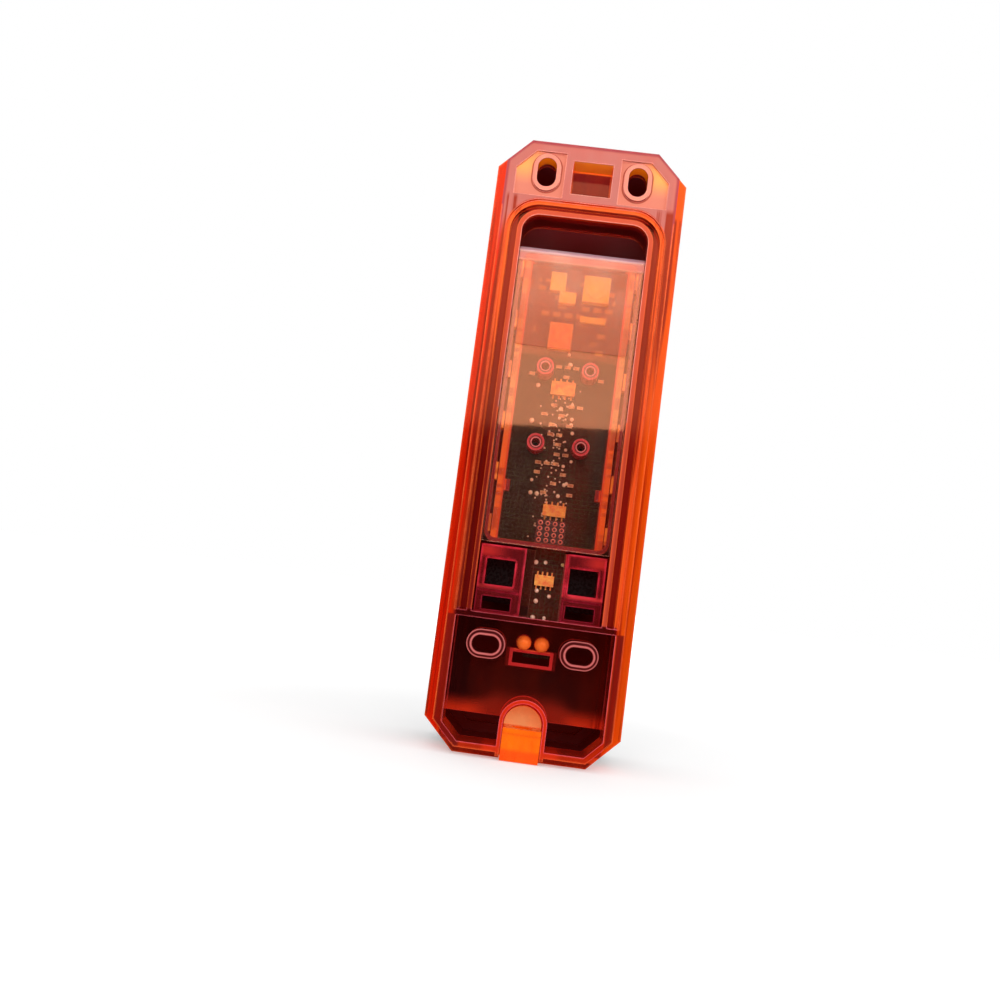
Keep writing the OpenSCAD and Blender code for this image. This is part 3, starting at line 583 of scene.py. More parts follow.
# Painted highlights along the housing's edges: purple on the plate's top, pale pink on the plate's and
# window's edges, orange in the groove, pink round the bay, none round the lower slots, darker red on the
# snap frame and the bay's inner walls
housingEdgeHighlights = (
    ({"z": (113, 134), "deep": (-1, 1.4)}, platePurple, 1.8, 0.7),
    ({"z": (112, 130.4), "side": (None, 21.9), "corner": (None, 94.2), "deep": (-1, 1.6)}, edgeHighlightPink,
     1.4, 0.3),
    ({"ring": (-0.5, 0.5), "z": (60, None), "deep": (-1, 1.2)}, edgeHighlightPink, 1.2, 0.45),
    ({"ring": (1.0, 3.6), "z": (6, None), "deep": (-1, 13)}, lipOrange, 1.1, 0.35),
    ({"side": (None, 20.3), "z": (-24.8, 8.4)}, bayEdgeHighlight, 1.8, 0.45),
    ({"slot": (-0.4, 1.9), "deep": (-1, 2.0)}, edgeHighlightPink, 0.0, 0.3),
    ({"side": (None, 6.6), "z": (-5.4, -0.2), "deep": (6, 9)}, (0.75, 0.06, 0.06), 1.6, 0.4),
    ({"side": (None, 20.3), "deep": (1.6, 13), "z": (-24.8, 8.4)}, (0.5, 0.03, 0.03), 1.2, 0.5),
)
housing = dressNode("base_housing", clearPlastic(housingLook, housingRegions, housingEdgeHighlights),
                    "housing")
print("housing:", len(housing.data.polygons), "faces")


# Cover and seal

coverLook = {
    "name": "darkCover",
    "tints": ((0.010, 0.007, 0.007), (0.016, 0.011, 0.011)),
    "rough": (0.32, 0.42),
    "size": 6,
    "specular": 0.2,
    "grain": 0.001,
    "regions": (({"side": (None, 22.9), "deep": (11.5, 32.9), "z": (-26, 131), "corner": (None, 94.6)},
                 (0.125, 0.0125, 0.017)),),
}
dressNode("front_cover", solidFinish(coverLook), "cover")
sealLook = {"name": "sealRubber", "tints": ((0.2, 0.03, 0.015), (0.28, 0.05, 0.02)), "rough": (0.5, 0.7)}
dressNode("cover_seal", solidFinish(sealLook), "housing")

# Grommet

grommetLook = {
    "name": "softGrommet",
    "tints": ((1.0, 0.18, 0.003), (1.0, 0.12, 0.002)),
    "clear": 0.1,
    "shine": (1.0, 0.5, 0.2),
    "rough": (0.2, 0.35),
    "cloud": 4,
    # rim: painted highlights along the grommet's edges
    "rim": {"tint": (1.0, 0.12, 0.01), "clear": 0.1, "strength": 0.8, "radius": 0.4},
    "shadow": (0.7, 0.3, 0.1),
}
grommetRegions = (
    ({"z": (None, -25.0)}, (1.0, 0.07, 0.004), 0.1, 0.6),
    ({"deep": (5.8, 10), "z": (-19.8, -12)}, (1.0, 0.66, 0.26), 0.0),
    ({"deep": (-1, 1), "z": (-21.4, -20.9)}, (0.9, 0.10, 0.003), 0.1, 0.3),
)
dressNode("cable_grommet", clearPlastic(grommetLook, grommetRegions), "housing")
print("cover, seal and grommet done")


# Module: tray with bright rails, glossy lid and frosted film

trayLook = {
    "name": "clearTray",
    "tints": ((0.42, 0.035, 0.04), (0.52, 0.05, 0.07)),
    "clear": 0.55,
    "rough": (0.08, 0.16),
    # rim: painted highlights along the tray's edges
    "rim": {"tint": (1.0, 0.16, 0.05), "clear": 0.2, "strength": 0.6, "radius": 0.4},
    "streak": {"size": 3.6, "amount": 0.85, "tint": (0.42, 0.035, 0.025), "stretch": (0.12, 0.12, 1),
               "limits": (0.5, 0.56), "ranges": {"side": (13.0, 16), "deep": (4, 12), "z": (24, 103)}},
    "shadow": (0.95, 0.65, 0.5),
}
trayRegions = (
    ({"side": (12.2, 14.5), "deep": (4.0, 11.2), "z": (26.6, 102)}, (1.0, 0.17, 0.02), 0.0),
    ({"side": (12.2, 14.5), "deep": (4.0, 11.2), "z": (56, 102, 4)}, (0.62, 0.24, 0.05), 0.0),
    ({"side": (14.45, 15.3), "deep": (4.0, 8.2), "z": (26.6, 102)}, (1.0, 0.36, 0.05), 0.0),
    ({"side": (12.2, 13.0), "deep": (4.0, 11.2), "z": (26.6, 102)}, (0.75, 0.06, 0.02), 0.0),
)
dressNode("module_tray", clearPlastic(trayLook, trayRegions), "housing")

lidLook = {
    "name": "glossLid",
    "tints": ((1.0, 0.78, 0.68), (1.0, 0.72, 0.60)),
    "clear": 0.996,
    "haze": 0.004,
    "rough": (0.02, 0.035),
    "ior": 1.8,
    "shine": (1.0, 0.40, 0.20),
    # rim: painted highlights along the lid's edges
    "rim": {"tint": (0.75, 0.45, 0.45), "clear": 0.5, "strength": 0.6, "radius": 0.3},
    "shadow": (1.0, 0.96, 0.93),
    "halfWidth": 16.37,
    "foot": 25.72,
    "top": 103.5,
    "back": 2.2,
    "front": 3.7,
    "bevel": 1.0,
    "edge": 0.12,
    "edgeSteps": 2,
    "edgeRound": 0.5,
    "smooth": 8,
}
# painted shading along the lid's top bevel: a pink band under a lilac highlight line
lidBevelShading = (
    ({"z": (100.0, 102.0)}, (0.60, 0.17, 0.18), 0.5, 0.5),
    ({"z": (102.1, 104)}, (0.42, 0.24, 0.30), 0.2),
)


# The lid reaches from rim to rim, with a bevel along its top edge
def makeLid(look, material):
    profile = [(look["back"], look["foot"]), (look["back"], look["top"] - look["bevel"]),
               (look["back"] + look["bevel"], look["top"]), (look["front"], look["top"]),
               (look["front"], look["foot"])]
    work = bmesh.new()
    ends = [[work.verts.new((x * mm, -deep * mm, z * mm)) for deep, z in profile]
            for x in (-look["halfWidth"], look["halfWidth"])]
    work.faces.new(ends[0])
    work.faces.new(ends[1])
    for i in range(len(profile)):
        j = (i + 1) % len(profile)
        work.faces.new((ends[0][i], ends[0][j], ends[1][j], ends[1][i]))
    bmesh.ops.recalc_face_normals(work, faces=work.faces)
    bmesh.ops.bevel(work, geom=list(work.edges), offset=look["edge"] * mm, segments=look["edgeSteps"],
                    affect="EDGES", profile=look["edgeRound"])
    smoothFaces(work, look["smooth"])
    mesh = bpy.data.meshes.new("moduleLid")
    work.to_mesh(mesh)
    work.free()
    mesh.materials.append(material)
    return addPiece("moduleLid", mesh, "housing", "module_lid")


makeLid(lidLook, clearPlastic(lidLook, lidBevelShading))

filmLook = {
    "name": "frostedFilm",
    "tints": ((1.0, 0.81, 0.68), (0.97, 0.76, 0.64)),
    "clear": 0.965,
    "ior": 1.14,
    "rough": (0.17, 0.22),
    "cloud": 5,
    "shadow": (0.97, 0.88, 0.78),
    "shrink": 0.01,
}
filmEdgeLook = {
    "name": "filmEdge",
    "tints": ((0.16, 0.015, 0.012), (0.24, 0.03, 0.02)),
    "rough": (0.8, 0.9),
    "specular": 0.0,
    "steepest": -0.7,
}
filmRegions = (({"z": (None, 88, 6)}, (0.86, 0.62, 0.47), 0.97),)
filmFinish = clearPlastic(filmLook, filmRegions)
film = dressNode("frosted_film", filmFinish, "housing", filmLook["shrink"])
# its lower edge is dull and dark
film.data.materials.append(solidFinish(filmEdgeLook))
for face in film.data.polygons:
    if face.normal.z < filmEdgeLook["steepest"]:
        face.material_index = 1
print("module done")


# Terminal frame

frameLook = {
    "name": "crimsonFrame",
    "tints": ((0.32, 0.018, 0.026), (0.46, 0.026, 0.034)),
    "clear": 0.8,
    "rough": (0.04, 0.1),
    "cloud": 3,
    # rim: painted highlights along the frame's edges
    "rim": {"tint": (1.0, 0.05, 0.09), "tintB": (0.75, 0.018, 0.045), "clear": 0.1, "strength": 2.5,
            "radius": 1.2, "patch": 3, "uneven": 0.5},
    "shine": (1.0, 0.3, 0.3),
    "shadow": (0.9, 0.4, 0.4),
}
# painted light: the outer cells' top bars brighter, and the bars on the right lamp's side brighter than
# on the other side
frameRegions = (
    ({"side": (11.5, None, 3.5), "z": (22.2, 24.8, 0.9)}, (0.62, 0.03, 0.024), 0.25),
    ({"x": (None, -7.0, 1.5), "z": (13.9, 14.8, 0.5)}, (0.70, 0.05, 0.05), 0.3),
    ({"x": (7.0, None, 1.5), "z": (13.9, 14.8, 0.5)}, (0.42, 0.03, 0.03), 0.4),
    ({"side": (None, 5.8), "deep": (7.0, 9.2)}, (0.8, 0.4, 0.3), 0.985),
)
# painted highlights along the frame's edges, dim on the web and on the lower cells
frameEdgeHighlights = (
    ({"side": (None, 5.7), "deep": (7.0, 9.2)}, (0.3, 0.02, 0.03), 0.3, 0.3),
    ({"side": (5.7, None), "z": (None, 14.0)}, (0.45, 0.02, 0.06), 1.2, 0.7),
)
frameFinish = clearPlastic(frameLook, frameRegions, frameEdgeHighlights)
dressNode("terminal_frame", frameFinish, "housing")

# Board

boardLook = {
    "name": "solderMask",
    "mask": (0.026, 0.008, 0.003),
    "maskB": (0.040, 0.011, 0.004),
    "warm": (0.095, 0.014, 0.006),
    # pale: the board under the frosted film painted paler, standing in for the film's scattered light
    "pale": (0.25, 0.058, 0.035),
    "pad": (0.50, 0.20, 0.05),
    "shade": (0.008, 0.003, 0.003),
    "trace": (0.06, 0.045, 0.018),
    "cloud": 6,
    "cloudDetail": 4,
    "cloudRough": 0.6,
    "weave": 0.7,
    "weaveDetail": 2,
    "rough": (0.22, 0.34),
    "specular": 0.15,
    "relief": 0.03,
    "warmArea": {"x": (-9.5, 3.5, 2.5), "z": (5, 62, 2.5)},
    "warmLeast": 0.3,
    "filmArea": {"z": (77, None, 1.0)},
    "wingArea": {"side": (5.9, None), "z": (None, 25.5)},
    "tracks": ((5.2, 1.1, 0.5), (1.3, 7.5, 0.33)),
    "trackGap": 0.09,
    "trackDetail": 1,
    "trackLimits": (0.4, 0.6),
    "brickSoft": 0.1,
    "padBricks": (3.1, 2.3, 0.4, 0.5),
    "padLimits": (0.68, 0.72),
    "padArea": {"side": (None, 10.5), "z": (78.5, 98)},
}


# A wall of bricks, with sizes in mm; offset is each row's shift as a share of a brick
def makeBricks(tree, coords, width, height, offset, gap):
    bricks = tree.nodes.new("ShaderNodeTexBrick")
    bricks.offset = offset
    bricks.inputs["Color1"].default_value = (0, 0, 0, 1)
    bricks.inputs["Color2"].default_value = (1, 1, 1, 1)
    bricks.inputs["Scale"].default_value = 1 / mm
    bricks.inputs["Brick Width"].default_value = width
    bricks.inputs["Row Height"].default_value = height
    bricks.inputs["Mortar Size"].default_value = gap
    bricks.inputs["Mortar Smooth"].default_value = boardLook["brickSoft"]
    tree.links.new(coords, bricks.inputs["Vector"])
    return bricks


def makeBoardFinish(look):
    material, tree, shader, output, coords = newMaterial(look["name"])
    weave = noise(tree, coords, look["weave"], look["weaveDetail"])
    mottled = noise(tree, coords, look["cloud"], look["cloudDetail"], look["cloudRough"])
    axes = makeAxes(tree, coords)
    colour = blendColours(tree, spread(tree, mottled, 0, 1), look["mask"], look["maskB"])
    warm = makeMask(tree, axes, look["warmArea"])
    warm = math2(tree, "MULTIPLY", warm, spread(tree, mottled, look["warmLeast"], 1.0))
    colour = blendColours(tree, warm, colour, look["warm"])
    # painted light: the board under the frosted film paler
    colour = blendColours(tree, makeMask(tree, axes, look["filmArea"]), colour, look["pale"])
    turned = tree.nodes.new("ShaderNodeMapping")
    turned.inputs["Rotation"].default_value = (math.radians(90), 0, 0)
    tree.links.new(coords, turned.inputs["Vector"])
    copper = None
    for width, height, offset in look["tracks"]:
        bricks = makeBricks(tree, turned.outputs["Vector"], width, height, offset, look["trackGap"])
        patches = noise(tree, coords, width, look["trackDetail"])
        patchy = spread(tree, patches, 0, 1, *look["trackLimits"])
        lines = math2(tree, "MULTIPLY", bricks.outputs["Fac"], patchy)
        copper = lines if copper is None else math2(tree, "MAXIMUM", copper, lines)
    wings = makeMask(tree, axes, look["wingArea"])
    copper = math2(tree, "MULTIPLY", copper, math2(tree, "SUBTRACT", 1.0, wings))
    colour = blendColours(tree, copper, colour, look["trace"])
    colour = blendColours(tree, wings, colour, look["shade"])
    # pads under the frosted film: some of the bricks of a coarser wall
    pads = makeBricks(tree, turned.outputs["Vector"], *look["padBricks"])
    chosen = spread(tree, pads.outputs["Color"], 0, 1, *look["padLimits"])
    chosen = math2(tree, "MULTIPLY", chosen, math2(tree, "SUBTRACT", 1.0, pads.outputs["Fac"]))
    chosen = math2(tree, "MULTIPLY", chosen, makeMask(tree, axes, look["padArea"]))
    colour = blendColours(tree, chosen, colour, look["pad"])
    tree.links.new(colour, shader.inputs["Base Color"])
    tree.links.new(spread(tree, weave, *look["rough"]), shader.inputs["Roughness"])
    shader.inputs["Specular IOR Level"].default_value = look["specular"]
    addBump(tree, shader, copper, look["relief"])
    return material


dressNode("main_board", makeBoardFinish(boardLook), "housing")
print("frame and board done")


# Solder joints: a low dome on each point, of a random size

solderLook = {
    "name": "solder",
    "tints": ((1.0, 0.78, 0.58), (1.0, 0.48, 0.30)),
    "size": 0.8,
    "rough": (0.08, 0.16),
    "specular": 1.0,
    "segments": 8,
    "rings": 5,
    "radius": 0.66,
    "least": 0.65,
    "most": 1.1,
    "seed": 4,
    "boardBack": 11.0,
    "places": (
        (7.2, 68.9), (0.0, 78.0), (-0.6, 75.3), (2.3, 63.8), (-2.5, 64.4), (0.6, 63.1), (0.5, 60.8),
        (-2.8, 60.8), (7.7, 59.3), (-2.8, 59.2), (1.7, 56.1), (-0.3, 56.1), (-3.4, 57.1), (-2.2, 52.5),
        (-2.1, 48.1), (-4.0, 49.6), (5.7, 43.6), (5.6, 40.2), (3.9, 40.1), (-3.5, 43.6), (-2.9, 43.2),
        (-1.7, 40.1), (1.8, 22.2), (-0.7, 22.4), (0.7, 14.8), (-2.7, 13.7), (0.6, 12.1), (0.9, 7.8),
        (-2.1, 8.0),
    ),
    "scatter": {"count": 110, "seed": 11, "low": (-4.6, 28.6), "high": (5.8, 70.0), "radius": 0.3,
                "inwards": (0.3, 1.0)},
}


def makeDotTree(look):
    tree, given, result = newNodeTree("solderDots", {
        "Radius": ("Float", look["radius"] * mm), "Least": ("Float", look["least"]),
        "Most": ("Float", look["most"]), "Seed": ("Int", look["seed"]), "Finish": ("Material", None),
    })
    ball = tree.nodes.new("GeometryNodeMeshUVSphere")
    ball.inputs["Segments"].default_value = look["segments"]
    ball.inputs["Rings"].default_value = look["rings"]
    tree.links.new(given["Radius"], ball.inputs["Radius"])
    spreadOut = tree.nodes.new("GeometryNodeInstanceOnPoints")
    tree.links.new(given["Geometry"], spreadOut.inputs["Points"])
    tree.links.new(ball.outputs["Mesh"], spreadOut.inputs["Instance"])
    chance = tree.nodes.new("FunctionNodeRandomValue")
    chance.data_type = "FLOAT"
    named = {socket.name: socket for socket in chance.inputs if socket.enabled}
    tree.links.new(given["Least"], named["Min"])
    tree.links.new(given["Most"], named["Max"])
    tree.links.new(given["Seed"], named["Seed"])
    value = [socket for socket in chance.outputs if socket.enabled][0]
    tree.links.new(value, spreadOut.inputs["Scale"])
    solid = tree.nodes.new("GeometryNodeRealizeInstances")
    tree.links.new(spreadOut.outputs["Instances"], solid.inputs[0])
    smooth = tree.nodes.new("GeometryNodeSetShadeSmooth")
    tree.links.new(solid.outputs[0], smooth.inputs["Geometry"])
    paint = tree.nodes.new("GeometryNodeSetMaterial")
    tree.links.new(smooth.outputs[0], paint.inputs["Geometry"])
    tree.links.new(given["Finish"], paint.inputs["Material"])
    tree.links.new(paint.outputs[0], result[0])
    return tree


def makeDots(name, look, finish, tree, places, radius):
    base = bpy.data.meshes.new(name)
    base.from_pydata([(x * mm, -look["boardBack"] * mm, z * mm) for x, z in places], [], [])
    values = {"Finish": finish, "Radius": radius * mm, "Seed": look["seed"]}
    return growPiece(name, base, tree, values, "housing")


def makeSolder(look):
    finish = solidFinish(look)
    tree = makeDotTree(look)
    scatter = look["scatter"]
    chance = random.Random(scatter["seed"])
    low, high = scatter["low"], scatter["high"]
    specks = []
    for i in range(scatter["count"]):
        x = chance.uniform(low[0], high[0]) * chance.uniform(*scatter["inwards"])
        specks.append((x, chance.uniform(low[1], high[1])))
    return (makeDots("solderJoints", look, finish, tree, look["places"], look["radius"]),
            makeDots("solderSpecks", look, finish, tree, specks, scatter["radius"]))


joints, specks = makeSolder(solderLook)
print("solder:", len(joints.data.polygons) + len(specks.data.polygons), "faces")


# Pin field of the header: a grid of open rings

pinFieldLook = {
    "name": "pinRings",
    "tints": ((1.0, 0.30, 0.22), (1.0, 0.14, 0.10)),
    "size": 1.0,
    "rough": (0.2, 0.3),
    "columns": 4,
    "rows": 4,
    "width": 4,
    "height": 6,
    "ring": 0.47,
    "wire": 0.19,
    "ringSteps": 12,
    "wireSteps": 6,
    "edgeReach": 0.1,
}


def makeRingTree(look, middle):
    tree, given, result = newNodeTree("pinField", {
        "Columns": ("Int", look["columns"]), "Rows": ("Int", look["rows"]),
        "Width": ("Float", look["width"] * mm), "Height": ("Float", look["height"] * mm),
        "Ring": ("Float", look["ring"] * mm), "Wire": ("Float", look["wire"] * mm),
        "Finish": ("Material", None),
    })
    grid = tree.nodes.new("GeometryNodeMeshGrid")
    for label, socket in (("Width", "Size X"), ("Height", "Size Y"), ("Columns", "Vertices X"),
                          ("Rows", "Vertices Y")):
        tree.links.new(given[label], grid.inputs[socket])
    ringLine = tree.nodes.new("GeometryNodeCurvePrimitiveCircle")
    ringLine.inputs["Resolution"].default_value = look["ringSteps"]
    tree.links.new(given["Ring"], ringLine.inputs["Radius"])
    wireLine = tree.nodes.new("GeometryNodeCurvePrimitiveCircle")
    wireLine.inputs["Resolution"].default_value = look["wireSteps"]
    tree.links.new(given["Wire"], wireLine.inputs["Radius"])
    ring = tree.nodes.new("GeometryNodeCurveToMesh")
    tree.links.new(ringLine.outputs["Curve"], ring.inputs["Curve"])
    tree.links.new(wireLine.outputs["Curve"], ring.inputs["Profile Curve"])
    spreadOut = tree.nodes.new("GeometryNodeInstanceOnPoints")
    tree.links.new(grid.outputs["Mesh"], spreadOut.inputs["Points"])
    tree.links.new(ring.outputs["Mesh"], spreadOut.inputs["Instance"])
    solid = tree.nodes.new("GeometryNodeRealizeInstances")
    tree.links.new(spreadOut.outputs["Instances"], solid.inputs[0])
    stand = tree.nodes.new("GeometryNodeTransform")
    stand.inputs["Rotation"].default_value = (math.radians(90), 0, 0)
    stand.inputs["Translation"].default_value = middle
    tree.links.new(solid.outputs[0], stand.inputs["Geometry"])
    smooth = tree.nodes.new("GeometryNodeSetShadeSmooth")
    tree.links.new(stand.outputs[0], smooth.inputs["Geometry"])
    paint = tree.nodes.new("GeometryNodeSetMaterial")
    tree.links.new(smooth.outputs[0], paint.inputs["Geometry"])
    tree.links.new(given["Finish"], paint.inputs["Material"])
    tree.links.new(paint.outputs[0], result[0])
    return tree


# The rings lie round the header's pins, on the face turned to the wall
def makePinField(look, header):
    places = [vertex.co for vertex in header.data.vertices]
    left, right = min(p.x for p in places), max(p.x for p in places)
    low, high = min(p.z for p in places), max(p.z for p in places)
    outline = [p.y for p in places if p.x < left + look["edgeReach"] * mm]
    middle = ((left + right) / 2, max(outline), (low + high) / 2)
    values = {
        "Finish": solidFinish(look), "Columns": look["columns"], "Rows": look["rows"],
        "Width": (right - left) * (1 - 1 / look["columns"]),
        "Height": (high - low) * (1 - 1 / look["rows"]),
        "Ring": look["ring"] * mm, "Wire": look["wire"] * mm,
    }
    base = bpy.data.meshes.new("pinFieldBase")
    return growPiece("pinField", base, makeRingTree(look, middle), values, "housing")


pinField = makePinField(pinFieldLook, frame["nodes"]["programming_header"])
print("pin field:", len(pinField.data.polygons), "faces")


# Parts on the board, the optics and the terminals

# a rim is a painted highlight along the part's edges
partLooks = {
    "holder_black": {"name": "lensHolder", "tints": ((0.72, 0.035, 0.06), (0.52, 0.02, 0.035)),
                     "rough": (0.15, 0.3),
                     "rim": {"tint": (0.9, 0.12, 0.16), "radius": 0.3, "strength": 2.0},
                     "regions": (({"post": (1.2, 1.7), "deep": (3, 5)}, (0.14, 0.006, 0.012), 0.12),
                                 ({"post": (1.0, 1.32), "deep": (3, 5)}, (0.95, 0.26, 0.30), 0.08),
                                 ({"post": (None, 1.02), "deep": (3, 20)}, (0.06, 0.004, 0.006), 0.06))},
    "relay_blue": {"name": "relayCase", "tints": ((0.05, 0.14, 0.36), (0.08, 0.18, 0.42)),
                   "rim": {"tint": (0.12, 0.25, 0.5), "radius": 0.3}},
    "part_pale": {"name": "paleParts", "tints": ((0.92, 0.66, 0.10), (0.86, 0.44, 0.05)), "size": 1.0,
                  "rim": {"tint": (1.0, 0.76, 0.3), "radius": 0.2}},
    "part_amber": {"name": "amberParts", "tints": ((1.0, 0.42, 0.05), (0.85, 0.10, 0.01)), "size": 1.1,
                   "rim": {"tint": (1.0, 0.48, 0.12), "radius": 0.2}},
    "header_red": {"name": "headerRed", "tints": ((0.05, 0.005, 0.005), (0.08, 0.007, 0.007)),
                   "size": 1.0, "rim": {"tint": (0.6, 0.06, 0.05), "radius": 0.2}},
    "terminal_green": {"name": "terminalBlock", "tints": ((0.012, 0.004, 0.004), (0.020, 0.006, 0.005)),
                       "rim": {"tint": (0.06, 0.01, 0.012), "radius": 0.3}},
    "clamp_brass": {"name": "clampBrass", "tints": ((0.8, 0.6, 0.25), (0.7, 0.5, 0.2)), "metal": 1.0,
                    "rough": (0.25, 0.4), "size": 1.0},
    "screw_tin": {"name": "screwTin", "tints": ((0.7, 0.69, 0.67), (0.6, 0.59, 0.57)), "metal": 1.0,
                  "rough": (0.2, 0.35), "size": 1.0},
}
clearLooks = {
    "lens_clear": {"name": "lensGlass", "tints": ((0.95, 0.97, 1.0), (0.92, 0.95, 1.0)), "clear": 0.97,
                   "rough": (0.0, 0.01), "shadow": (0.95, 0.95, 0.95)},
    "diode_dark": {"name": "tintedDiode", "tints": ((0.2, 0.1, 0.3), (0.16, 0.08, 0.25)), "clear": 0.6,
                   "rough": (0.02, 0.06), "shadow": (0.4, 0.3, 0.5)},
    "light_red": {"name": "redLight", "tints": ((0.9, 0.08, 0.05), (0.8, 0.06, 0.04)), "clear": 0.6,
                  "rough": (0.1, 0.2), "shadow": (0.9, 0.4, 0.3)},
}
partFinishes = {slotName: solidFinish(look) for slotName, look in partLooks.items()}
partFinishes.update({slotName: clearPlastic(look) for slotName, look in clearLooks.items()})
# the mottling runs from dark red to pale orange: the parts' tone varies at random and the pale spots are
# painted glints
passiveLook = {
    "name": "smallPassives",
    "tints": ((0.30, 0.03, 0.015), (1.0, 0.46, 0.18)),
    "size": 1.3,
    "rim": {"tint": (1.0, 0.62, 0.40), "radius": 0.18},
}
capacitorLook = {
    "name": "capacitorCeramic",
    "tints": ((1.0, 0.64, 0.05), (0.98, 0.48, 0.03)),
    "size": 1.2,
    "rim": {"tint": (1.0, 0.76, 0.2), "radius": 0.2},
}
nodeFinishes = {"small_passives": solidFinish(passiveLook),
                "smoothing_capacitors": solidFinish(capacitorLook)}
slotOf = {row["node"]: row["material_slot"] for row in frame["record"]["subparts"]}
for node, slotName in slotOf.items():
    if slotName in partFinishes:
        finish = nodeFinishes.get(node, partFinishes[slotName])
        dressNode(node, finish, frame["nodes"][node]["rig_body"])
print("parts dressed")


# Floor, world and lamps

floorLook = {
    "name": "paleFloor",
    "tint": (0.86, 0.86, 0.86),
    "rough": 0.9,
    "specular": 0.0,
    "reach": 3.0,
    "topUp": 0.25,
    "farTopUp": 0.5,
    "near": 0.1,
    "far": 0.5,
    "card": (0.02, 0.02, 0.02),
    "cardArea": {"deep": (None, -20, 15)},
}
roomLook = {
    "strength": 0.75,
    "behindCamera": 0.03,
    "from": 0.93,
    "to": 0.97,
}


def makeFloor(look):
    material, tree, shader, output, coords = newMaterial(look["name"])
    shader.inputs["Base Color"].default_value = (*look["tint"], 1)
    shader.inputs["Roughness"].default_value = look["rough"]
    shader.inputs["Specular IOR Level"].default_value = look["specular"]
    paths = tree.nodes.new("ShaderNodeLightPath")
    glow = tree.nodes.new("ShaderNodeEmission")
    split = tree.nodes.new("ShaderNodeSeparateXYZ")
    tree.links.new(coords, split.inputs[0])
    away = makeHypot(tree, split.outputs["X"], split.outputs["Y"])
    away = spread(tree, away, 0.0, look["farTopUp"], look["near"], look["far"])
    level = math2(tree, "ADD", away, look["topUp"])
    tree.links.new(math2(tree, "MULTIPLY", paths.outputs["Is Camera Ray"], level),
                   glow.inputs["Strength"])
    both = tree.nodes.new("ShaderNodeAddShader")
    tree.links.new(shader.outputs["BSDF"], both.inputs[0])
    tree.links.new(glow.outputs[0], both.inputs[1])
    # a dark card lies on the floor behind the camera's side, seen only in reflections
    axes = makeAxes(tree, coords)
    card = makeMask(tree, axes, look["cardArea"])
    card = math2(tree, "MULTIPLY", paths.outputs["Is Glossy Ray"], card)
    dark = tree.nodes.new("ShaderNodeBsdfDiffuse")
    dark.inputs["Color"].default_value = (*look["card"], 1)
    mix = tree.nodes.new("ShaderNodeMixShader")
    tree.links.new(card, mix.inputs[0])
    tree.links.new(both.outputs[0], mix.inputs[1])
    tree.links.new(dark.outputs[0], mix.inputs[2])
    tree.links.new(mix.outputs[0], output.inputs["Surface"])
    mesh = bpy.data.meshes.new("floor")
    reach = look["reach"]
    corners = [(x * reach, y * reach, cadLow.z) for x, y in ((-1, -1), (1, -1), (1, 1), (-1, 1))]
    mesh.from_pydata(corners, [], [(0, 1, 2, 3)])
    floor = bpy.data.objects.new("floor", mesh)
    mesh.materials.append(material)
    scene.collection.objects.link(floor)


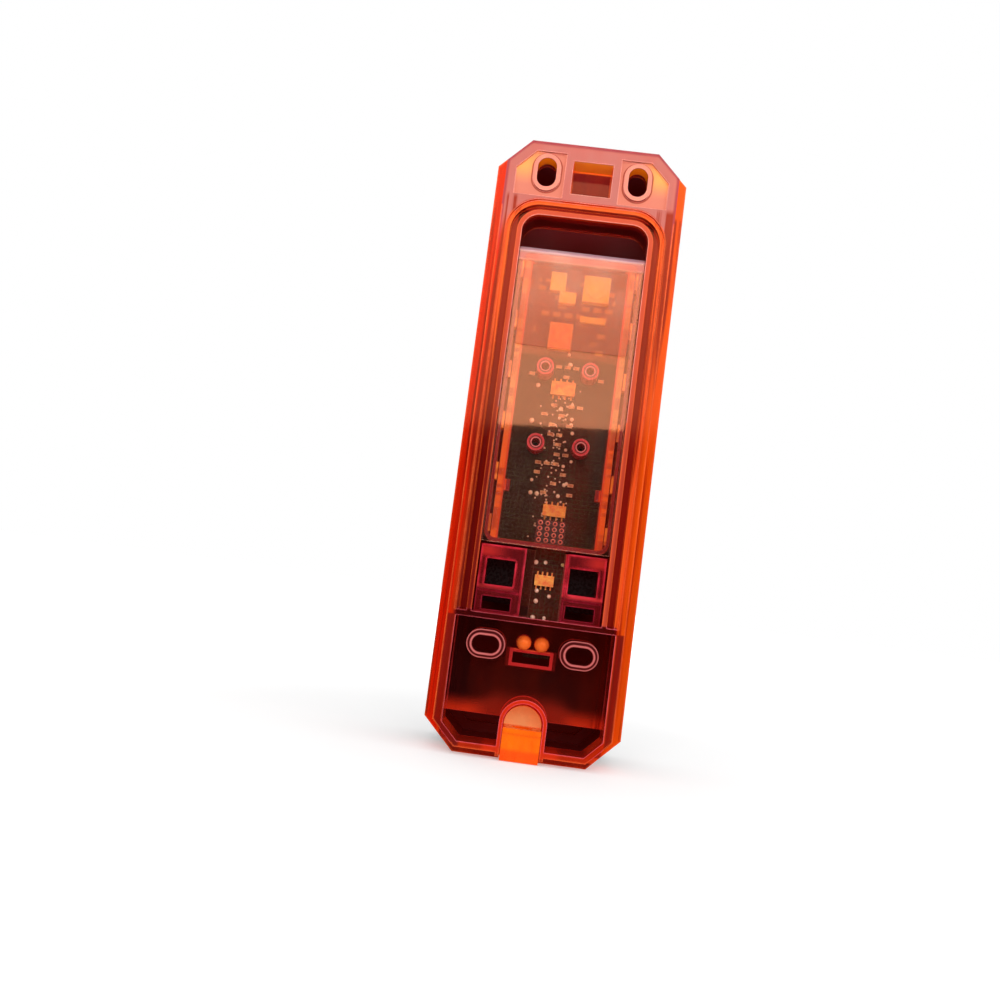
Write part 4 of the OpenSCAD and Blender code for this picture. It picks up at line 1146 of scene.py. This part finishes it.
def makeWorld(look):
    world = bpy.data.worlds.new("paleRoom")
    scene.world = world
    world.use_nodes = True
    tree = world.node_tree
    tree.nodes.clear()
    output = tree.nodes.new("ShaderNodeOutputWorld")
    seen = tree.nodes.new("ShaderNodeBackground")
    room = tree.nodes.new("ShaderNodeBackground")
    for background in (seen, room):
        background.inputs["Color"].default_value = (1, 1, 1, 1)
    paths = tree.nodes.new("ShaderNodeLightPath")
    coords = tree.nodes.new("ShaderNodeTexCoord")
    split = tree.nodes.new("ShaderNodeSeparateXYZ")
    tree.links.new(coords.outputs["Generated"], split.inputs[0])
    side = spread(tree, split.outputs["Y"], 1.0, look["behindCamera"], look["from"], look["to"],
                  smooth=True)
    through = spread(tree, paths.outputs["Is Transmission Ray"], look["strength"], 1.0, 0.0, 1.0)
    tree.links.new(math2(tree, "MULTIPLY", side, through), room.inputs["Strength"])
    mix = tree.nodes.new("ShaderNodeMixShader")
    tree.links.new(paths.outputs["Is Camera Ray"], mix.inputs[0])
    tree.links.new(room.outputs[0], mix.inputs[1])
    tree.links.new(seen.outputs[0], mix.inputs[2])
    tree.links.new(mix.outputs[0], output.inputs["Surface"])


def makeLamp(name, place, target, size, radiance, cone=180, roll=0):
    data = bpy.data.lights.new(name, "AREA")
    data.shape = "RECTANGLE"
    data.size, data.size_y = size
    data.spread = math.radians(cone)
    data.energy = radiance * math.pi * size[0] * size[1]
    lamp = bpy.data.objects.new(name, data)
    lamp.location = place
    aim = (Vector(target) - Vector(place)).to_track_quat("-Z", "Y").to_matrix()
    lamp.rotation_euler = (Matrix.Rotation(math.radians(roll), 3, "Y") @ aim).to_euler()
    scene.collection.objects.link(lamp)
    return lamp


makeFloor(floorLook)
makeWorld(roomLook)

# The softbox stands so that its mirror image ends a little below the middle of the lid
softboxLook = {
    "away": 0.6,
    "size": (0.5, 0.42),
    "imageEnd": 0.0568,
    "turn": 4.2,
    "radiance": 2.7,
}


def makeSoftbox(look):
    end = look["imageEnd"]
    foot = end + (end - camera.location.z) * look["away"] / camera.location.y
    half = look["size"][1] / 2
    turn = math.radians(look["turn"])
    side = half * math.sin(turn)
    height = foot + half * math.cos(turn)
    makeLamp("softbox", (side, look["away"], height), (side, 0.0, height), look["size"],
             look["radiance"], roll=look["turn"])


lampLooks = {
    "rightLamp": {"place": (-0.40, 0.46, 0.03), "target": (0.0, 0.0, 0.05), "size": (0.34, 0.5),
                  "radiance": 2.4},
    "leftLamp": {"place": (0.40, 0.46, 0.03), "target": (0.0, 0.0, 0.05), "size": (0.34, 0.5),
                 "radiance": 0.9},
    "lowLamp": {"place": (0.0, 0.24, -0.005), "target": (0.0, 0.0, 0.123), "size": (0.3, 0.04),
                "radiance": 0.8, "cone": 32},
    "sideLamp": {"place": (-0.75, 0.25, 0.15), "target": (0.0, 0.0, 0.05), "size": (0.4, 0.5),
                 "radiance": 1.5},
}
makeSoftbox(softboxLook)
for name, look in lampLooks.items():
    makeLamp(name, **look)
scene.view_settings.view_transform = "Standard"
print("stage and lamps ready")
